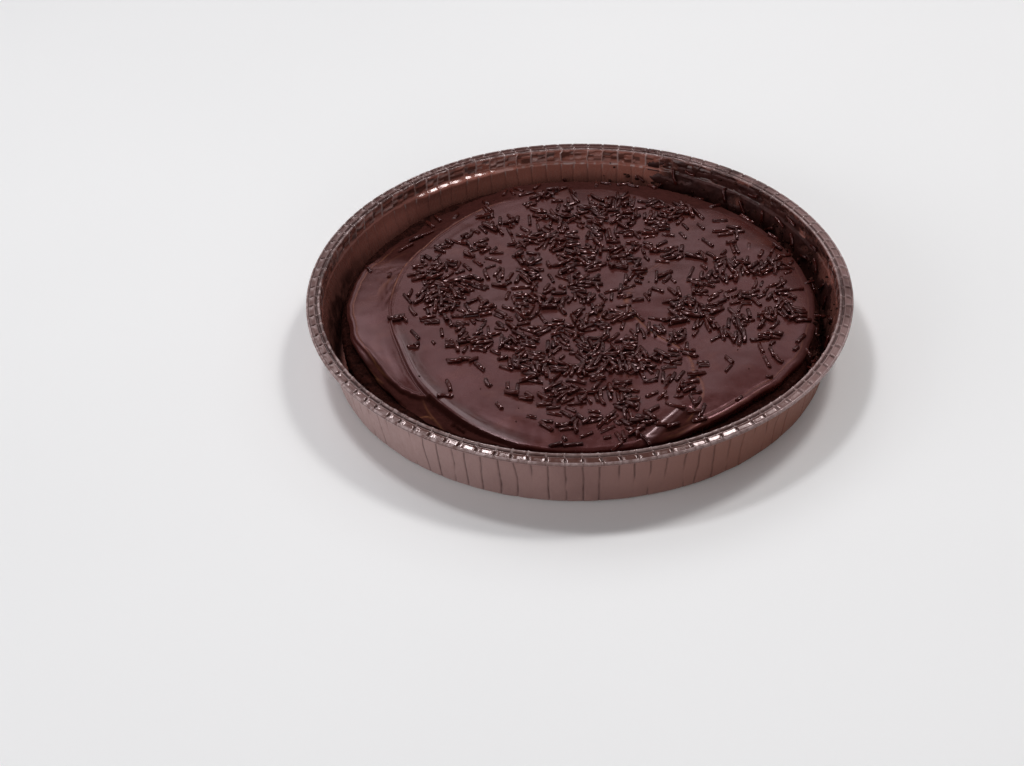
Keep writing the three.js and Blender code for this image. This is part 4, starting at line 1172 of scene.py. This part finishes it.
# ---------------------------------------------------------------------------
# materials
# ---------------------------------------------------------------------------
class Nodes:
    def __init__(self, name):
        self.mat = bpy.data.materials.new(name)
        self.mat.use_nodes = True
        self.nt = self.mat.node_tree
        self.bsdf = self.nt.nodes["Principled BSDF"]
        self.coord = self.nt.nodes.new("ShaderNodeTexCoord").outputs["Object"]

    def new(self, kind):
        return self.nt.nodes.new(kind)

    def link(self, a, b):
        self.nt.links.new(a, b)

    def attribute(self, name):
        n = self.new("ShaderNodeAttribute")
        n.attribute_name = name
        return n.outputs["Fac"]

    def axis(self, name):
        n = self.new("ShaderNodeSeparateXYZ")
        self.link(self.coord, n.inputs[0])
        return n.outputs[name]

    def noise(self, scale, detail=3.0, rough=0.55, stretch=None, distort=0.0):
        n = self.new("ShaderNodeTexNoise")
        n.inputs["Scale"].default_value = scale
        n.inputs["Detail"].default_value = detail
        n.inputs["Roughness"].default_value = rough
        n.inputs["Distortion"].default_value = distort
        if stretch:
            m = self.new("ShaderNodeMapping")
            m.inputs["Scale"].default_value = stretch
            self.link(self.coord, m.inputs["Vector"])
            self.link(m.outputs["Vector"], n.inputs["Vector"])
        else:
            self.link(self.coord, n.inputs["Vector"])
        return n.outputs["Fac"]

    def voronoi(self, scale, feature="F1"):
        n = self.new("ShaderNodeTexVoronoi")
        n.feature = feature
        n.inputs["Scale"].default_value = scale
        self.link(self.coord, n.inputs["Vector"])
        return n.outputs["Distance"]

    def remap(self, value, a, b, c=0.0, d=1.0, smooth=True):
        n = self.new("ShaderNodeMapRange")
        n.interpolation_type = "SMOOTHSTEP" if smooth else "LINEAR"
        n.inputs["From Min"].default_value = a
        n.inputs["From Max"].default_value = b
        n.inputs["To Min"].default_value = c
        n.inputs["To Max"].default_value = d
        self.link(value, n.inputs["Value"])
        return n.outputs["Result"]

    def math(self, op, a, b):
        n = self.new("ShaderNodeMath")
        n.operation = op
        for s, v in zip(n.inputs, (a, b)):
            if isinstance(v, (int, float)):
                s.default_value = v
            else:
                self.link(v, s)
        return n.outputs[0]

    def mix(self, fac, a, b):
        n = self.new("ShaderNodeMix")
        n.data_type = "RGBA"
        for s, v in ((n.inputs[0], fac), (n.inputs[6], a), (n.inputs[7], b)):
            if isinstance(v, (int, float)):
                s.default_value = v
            elif isinstance(v, tuple):
                s.default_value = (*v, 1.0)
            else:
                self.link(v, s)
        return n.outputs[2]

    def bump(self, height, strength, distance, normal=None):
        n = self.new("ShaderNodeBump")
        n.inputs["Strength"].default_value = strength
        n.inputs["Distance"].default_value = distance
        self.link(height, n.inputs["Height"])
        if normal is not None:
            self.link(normal, n.inputs["Normal"])
        return n.outputs["Normal"]


def paper_material():
    m = Nodes("pressed_brown_paper")
    crease, gloss, stain = m.attribute("crease"), m.attribute("gloss"), m.attribute("stain")
    worn, outer, lip = m.attribute("worn"), m.attribute("outer"), m.attribute("lip")
    cloud = m.noise(55.0, 3.0)
    fibre = m.noise(900.0, 4.0, 0.6, stretch=(1.0, 1.0, 0.35))
    speck = m.noise(2600.0, 2.0, 0.7)
    inner_c = m.mix(m.remap(cloud, 0.35, 0.65), (0.208, 0.071, 0.055), (0.244, 0.086, 0.068))
    across, depth = m.axis("X"), m.axis("Y")
    # painted light and shade on the lip: lighter at the right, darker at the front and at the back left
    lip_c = m.mix(m.remap(across, 0.02, 0.10), (0.136, 0.074, 0.069), (0.215, 0.125, 0.118))
    lip_c = m.mix(m.remap(depth, -0.070, -0.100), lip_c, (0.088, 0.037, 0.030))
    lip_c = m.mix(m.math("MULTIPLY", m.remap(depth, 0.040, 0.085), m.remap(across, 0.055, 0.020)), lip_c, (0.112, 0.051, 0.045))
    inner_c = m.mix(lip, inner_c, lip_c)
    outer_c = m.mix(m.remap(cloud, 0.35, 0.65), (0.205, 0.116, 0.106), (0.235, 0.136, 0.124))
    # painted light on the inside of the back wall
    inner_c = m.mix(m.math("MULTIPLY", m.remap(depth, 0.075, 0.100), m.math("SUBTRACT", 1.0, lip)), inner_c, (0.310, 0.112, 0.084))
    # painted sheen on the outside at the left
    outer_c = m.mix(m.remap(across, 0.00, -0.10), outer_c, (0.350, 0.238, 0.226))
    # painted shade and warm reflection on the outside at the right
    outer_c = m.mix(m.remap(across, -0.02, 0.09), outer_c, (0.196, 0.074, 0.048))
    base = m.mix(outer, inner_c, outer_c)
    base = m.mix(m.remap(fibre, 0.35, 0.75, 0.0, 0.16), base, (0.200, 0.110, 0.095))
    base = m.mix(m.remap(speck, 0.58, 0.74, 0.0, 0.30), base, (0.075, 0.030, 0.024))
    # worn crests and painted highlights lighten the paper
    base = m.mix(m.math("MULTIPLY", worn, m.remap(speck, 0.35, 0.6, 0.55, 0.85)), base, (0.430, 0.330, 0.325))
    # painted shade in the creases, notches, grooves and between the crumples
    base = m.mix(m.math("MULTIPLY", crease, 0.88), base, (0.026, 0.0085, 0.0070))
    # ganache stains and painted shade darken the paper
    patch = m.noise(190.0, 4.0, 0.6)
    stain_and_shade_mix = m.math("MULTIPLY", stain, m.remap(patch, 0.30, 0.55, 0.45, 1.0))
    base = m.mix(stain_and_shade_mix, base, (0.034, 0.0105, 0.0085))
    m.link(base, m.bsdf.inputs["Base Color"])
    rough = m.math("ADD", m.remap(gloss, 0.0, 1.0, 0.50, 0.145, smooth=False), m.remap(fibre, 0.3, 0.7, -0.04, 0.06))
    rough = m.math("ADD", rough, m.math("MULTIPLY", stain_and_shade_mix, 0.10))
    m.link(rough, m.bsdf.inputs["Roughness"])
    m.bsdf.inputs["IOR"].default_value = 1.5
    m.bsdf.inputs["Specular Tint"].default_value = (1.0, 0.84, 0.84, 1.0)
    m.link(m.remap(outer, 0.0, 1.0, 0.50, 0.25, smooth=False), m.bsdf.inputs["Specular IOR Level"])
    n = m.bump(fibre, 0.22, 0.00010)
    n = m.bump(cloud, 0.20, 0.0006, n)
    m.link(n, m.bsdf.inputs["Normal"])
    return m.mat


def ganache_material():
    m = Nodes("ganache_glossy")
    torn, crest = m.attribute("torn"), m.attribute("crest")
    cloud = m.noise(34.0, 4.0, 0.55)
    fine = m.noise(420.0, 4.0, 0.6)
    grit = m.noise(1500.0, 2.0, 0.6)
    base = m.mix(m.remap(cloud, 0.35, 0.65), (0.0500, 0.0122, 0.0098), (0.0620, 0.0150, 0.0128))
    base = m.mix(m.remap(m.noise(95.0, 3.0, 0.5), 0.50, 0.68, 0.0, 0.7), base, (0.0760, 0.0215, 0.0160))
    base = m.mix(m.remap(fine, 0.55, 0.80, 0.0, 0.25), base, (0.0860, 0.0240, 0.0190))
    # darker where torn and matte, and painted shade in the furrows, the pocket and along the back and right edges
    base = m.mix(m.math("MULTIPLY", torn, m.remap(fine, 0.35, 0.65, 0.65, 1.0)), base, (0.0330, 0.0084, 0.0064))
    base = m.mix(m.math("MULTIPLY", crest, m.remap(fine, 0.30, 0.60, 0.55, 1.0)), base, (0.2700, 0.1080, 0.0520))
    m.link(base, m.bsdf.inputs["Base Color"])
    rough = m.math("ADD", m.remap(cloud, 0.30, 0.70, 0.20, 0.26), m.math("MULTIPLY", m.math("MAXIMUM", torn, crest), 0.50))
    rough = m.math("ADD", rough, m.remap(fine, 0.3, 0.7, -0.03, 0.04))
    m.link(rough, m.bsdf.inputs["Roughness"])
    m.bsdf.inputs["IOR"].default_value = 1.5
    m.link(m.remap(torn, 0.0, 1.0, 0.56, 0.06, smooth=False), m.bsdf.inputs["Specular IOR Level"])
    m.link(m.mix(m.attribute("pale"), (1.0, 0.52, 0.58), (1.0, 0.84, 0.88)), m.bsdf.inputs["Specular Tint"])
    n = m.bump(m.noise(24.0, 2.0, 0.4, distort=0.4), 0.30, 0.0010)
    n = m.bump(m.noise(62.0, 2.0, 0.5, distort=0.3), 0.25, 0.0008, n)
    n = m.bump(m.noise(110.0, 3.0, 0.5), 0.12, 0.0004, n)
    n = m.bump(grit, 0.05, 0.0001, n)
    m.link(n, m.bsdf.inputs["Normal"])
    return m.mat


def cake_material(name="cake_crumb_dark", dark=(0.0105, 0.0026, 0.0020), mid=(0.0290, 0.0074, 0.0056), light=(0.072, 0.022, 0.017)):
    m = Nodes(name)
    pit = m.attribute("pit")
    cells = m.voronoi(900.0)
    big = m.noise(330.0, 4.0, 0.65)
    fine = m.noise(1600.0, 3.0, 0.7)
    base = m.mix(m.remap(big, 0.35, 0.65), dark, mid)
    base = m.mix(m.remap(fine, 0.56, 0.72, 0.0, 0.7), base, light)
    # painted shade in the pores and in the pits
    base = m.mix(m.remap(cells, 0.10, 0.32, 0.6, 0.0), base, (0.006, 0.002, 0.0018))
    base = m.mix(m.math("MULTIPLY", pit, 0.8), base, (0.006, 0.002, 0.0018))
    m.link(base, m.bsdf.inputs["Base Color"])
    m.link(m.remap(fine, 0.3, 0.7, 0.62, 0.92), m.bsdf.inputs["Roughness"])
    m.bsdf.inputs["IOR"].default_value = 1.4
    m.bsdf.inputs["Specular IOR Level"].default_value = 0.05
    m.bsdf.inputs["Specular Tint"].default_value = (1.0, 0.6, 0.55, 1.0)
    n = m.bump(cells, 0.6, 0.0005)
    n = m.bump(fine, 0.5, 0.0003, n)
    m.link(n, m.bsdf.inputs["Normal"])
    return m.mat


def strand_material():
    m = Nodes("chocolate_strand")
    tone = m.attribute("tone")
    fine = m.noise(700.0, 3.0, 0.6)
    base = m.mix(tone, (0.0240, 0.0034, 0.0026), (0.0480, 0.0082, 0.0058))
    base = m.mix(m.remap(fine, 0.50, 0.75, 0.0, 0.4), base, (0.0620, 0.0125, 0.0090))
    m.link(base, m.bsdf.inputs["Base Color"])
    m.link(m.math("ADD", m.remap(tone, 0.0, 1.0, 0.17, 0.08, smooth=False), m.remap(fine, 0.35, 0.7, -0.02, 0.05)), m.bsdf.inputs["Roughness"])
    m.bsdf.inputs["IOR"].default_value = 1.5
    m.bsdf.inputs["Specular IOR Level"].default_value = 0.46
    m.bsdf.inputs["Specular Tint"].default_value = (1.0, 0.68, 0.70, 1.0)
    n = m.bump(fine, 0.12, 0.0002)
    m.link(n, m.bsdf.inputs["Normal"])
    return m.mat


def smear_material():
    m = Nodes("ganache_wiped")
    cloud = m.noise(160.0, 4.0, 0.6)
    fine = m.noise(800.0, 3.0, 0.6)
    base = m.mix(m.remap(cloud, 0.35, 0.65), (0.0200, 0.0052, 0.0044), (0.0400, 0.0115, 0.0092))
    m.link(base, m.bsdf.inputs["Base Color"])
    m.link(m.remap(fine, 0.3, 0.7, 0.36, 0.55), m.bsdf.inputs["Roughness"])
    m.bsdf.inputs["Specular IOR Level"].default_value = 0.35
    m.bsdf.inputs["Specular Tint"].default_value = (1.0, 0.62, 0.62, 1.0)
    n = m.bump(fine, 0.35, 0.0003)
    n = m.bump(cloud, 0.5, 0.0006, n)
    m.link(n, m.bsdf.inputs["Normal"])
    return m.mat


# ---------------------------------------------------------------------------
# make everything
# ---------------------------------------------------------------------------
case = build_case()
cake = build_cake()
ganache = build_ganache()
strands, bed = build_strands()
crumbs = build_crumbs(bed)
smears = build_smears()

case.data.materials.append(paper_material())
cake.data.materials.append(cake_material())
ganache.data.materials.append(ganache_material())
strands.data.materials.append(strand_material())
crumbs.data.materials.append(cake_material("cake_crumb_loose", (0.020, 0.0066, 0.0054), (0.044, 0.016, 0.0125)))
smears.data.materials.append(smear_material())

for piece, node, slot in ((case, "paper_case", "case_paper"), (cake, "cake_base", "cake_crumb"), (ganache, "ganache", "ganache"),
                          (strands, None, "strands"), (crumbs, None, "cake_crumb"), (smears, None, "ganache")):
    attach(piece, "root")
    if node:
        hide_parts(node)

# ---------------------------------------------------------------------------
# floor, light
# ---------------------------------------------------------------------------
half = 6.0
floor = mesh_object("floor", np.array([[-half, -half, 0], [half, -half, 0], [half, half, 0], [-half, half, 0]]) / MM + np.array([0, 0, -0.02]),
                    [np.array([[0, 1, 2, 3]])], smooth=False)
fm = Nodes("pale_floor")
fm.link(fm.mix(fm.remap(fm.noise(3.0, 2.0), 0.3, 0.7), (0.86, 0.86, 0.865), (0.88, 0.88, 0.885)), fm.bsdf.inputs["Base Color"])
fm.bsdf.inputs["Roughness"].default_value = 0.9
floor.data.materials.append(fm.mat)


def softbox(name, direction, distance, size, radiance, colour=(1, 1, 1)):
    data = bpy.data.lights.new(name, "AREA")
    data.shape = "RECTANGLE"
    data.size, data.size_y = size
    data.energy = radiance * math.pi * size[0] * size[1]
    data.color = colour
    ob = bpy.data.objects.new(name, data)
    bpy.context.scene.collection.objects.link(ob)
    d = Vector(direction).normalized()
    ob.location = d * distance
    ob.rotation_euler = (-d).to_track_quat("-Z", "Y").to_euler()
    return ob


softbox("softbox_right", (0.339, 0.242, 0.909), 1.35, (0.20, 0.20), 38.0, (1.0, 0.985, 0.97))
softbox("softbox_left", (-0.262, 0.198, 0.945), 1.35, (0.18, 0.18), 46.0, (0.985, 0.99, 1.0))
softbox("softbox_wide", (0.470, 0.270, 0.840), 1.40, (0.34, 0.24), 5.0, (1.0, 0.985, 0.98))
softbox("card_front_left", (-0.86, -0.44, 0.32), 1.8, (1.7, 1.0), 2.0, (0.97, 0.985, 1.0))
softbox("card_front", (0.25, -0.92, 0.42), 1.9, (1.8, 0.9), 1.0, (1.0, 0.97, 0.94))

world = bpy.data.worlds.new("studio")
bpy.context.scene.world = world
world.use_nodes = True
wt = world.node_tree
bg = wt.nodes["Background"]
tc = wt.nodes.new("ShaderNodeTexCoord")
sep = wt.nodes.new("ShaderNodeSeparateXYZ")
wt.links.new(tc.outputs["Generated"], sep.inputs[0])


def w_range(value, a, b, c, d):
    n = wt.nodes.new("ShaderNodeMapRange")
    n.interpolation_type = "SMOOTHSTEP"
    for k, v in (("From Min", a), ("From Max", b), ("To Min", c), ("To Max", d)):
        n.inputs[k].default_value = v
    wt.links.new(value, n.inputs["Value"])
    return n.outputs["Result"]


def w_math(op, a, b):
    n = wt.nodes.new("ShaderNodeMath")
    n.operation = op
    for s, v in zip(n.inputs, (a, b)):
        if isinstance(v, (int, float)):
            s.default_value = v
        else:
            wt.links.new(v, s)
    return n.outputs[0]


low_band = w_math("MULTIPLY", w_range(sep.outputs["Z"], 0.49, 0.56, 0.0, 1.0), w_range(sep.outputs["Z"], 0.590, 0.71, 1.0, 0.0))
horizon = w_range(sep.outputs["Z"], 0.05, 0.60, 1.0, 0.0)
behind = w_range(sep.outputs["Y"], -0.30, 0.55, 0.0, 1.0)
left = w_range(sep.outputs["X"], -0.7, 0.7, 1.0, 0.0)
side = w_math("MULTIPLY", horizon, w_math("ADD", 0.20, w_math("MULTIPLY", left, 0.25)))
strip = w_math("MULTIPLY", w_math("MULTIPLY", low_band, behind), 1.32)
# a soft patch that the slopes facing the front left mirror
patch_dot = wt.nodes.new("ShaderNodeVectorMath")
patch_dot.operation = "DOT_PRODUCT"
wt.links.new(tc.outputs["Generated"], patch_dot.inputs[0])
patch_dot.inputs[1].default_value = (-0.257, 0.592, 0.764)
patch = w_math("MULTIPLY", w_range(patch_dot.outputs["Value"], 0.970, 0.990, 0.0, 1.0), 2.5)
level = w_math("ADD", w_math("ADD", w_math("ADD", 0.10, side), strip), patch)
wt.links.new(level, bg.inputs["Strength"])
bg.inputs["Color"].default_value = (1.0, 0.99, 1.01, 1.0)

scene = bpy.context.scene
scene.view_settings.view_transform = "Standard"
scene.view_settings.look = "None"
scene.view_settings.exposure = 0.0
scene.view_settings.gamma = 1.0
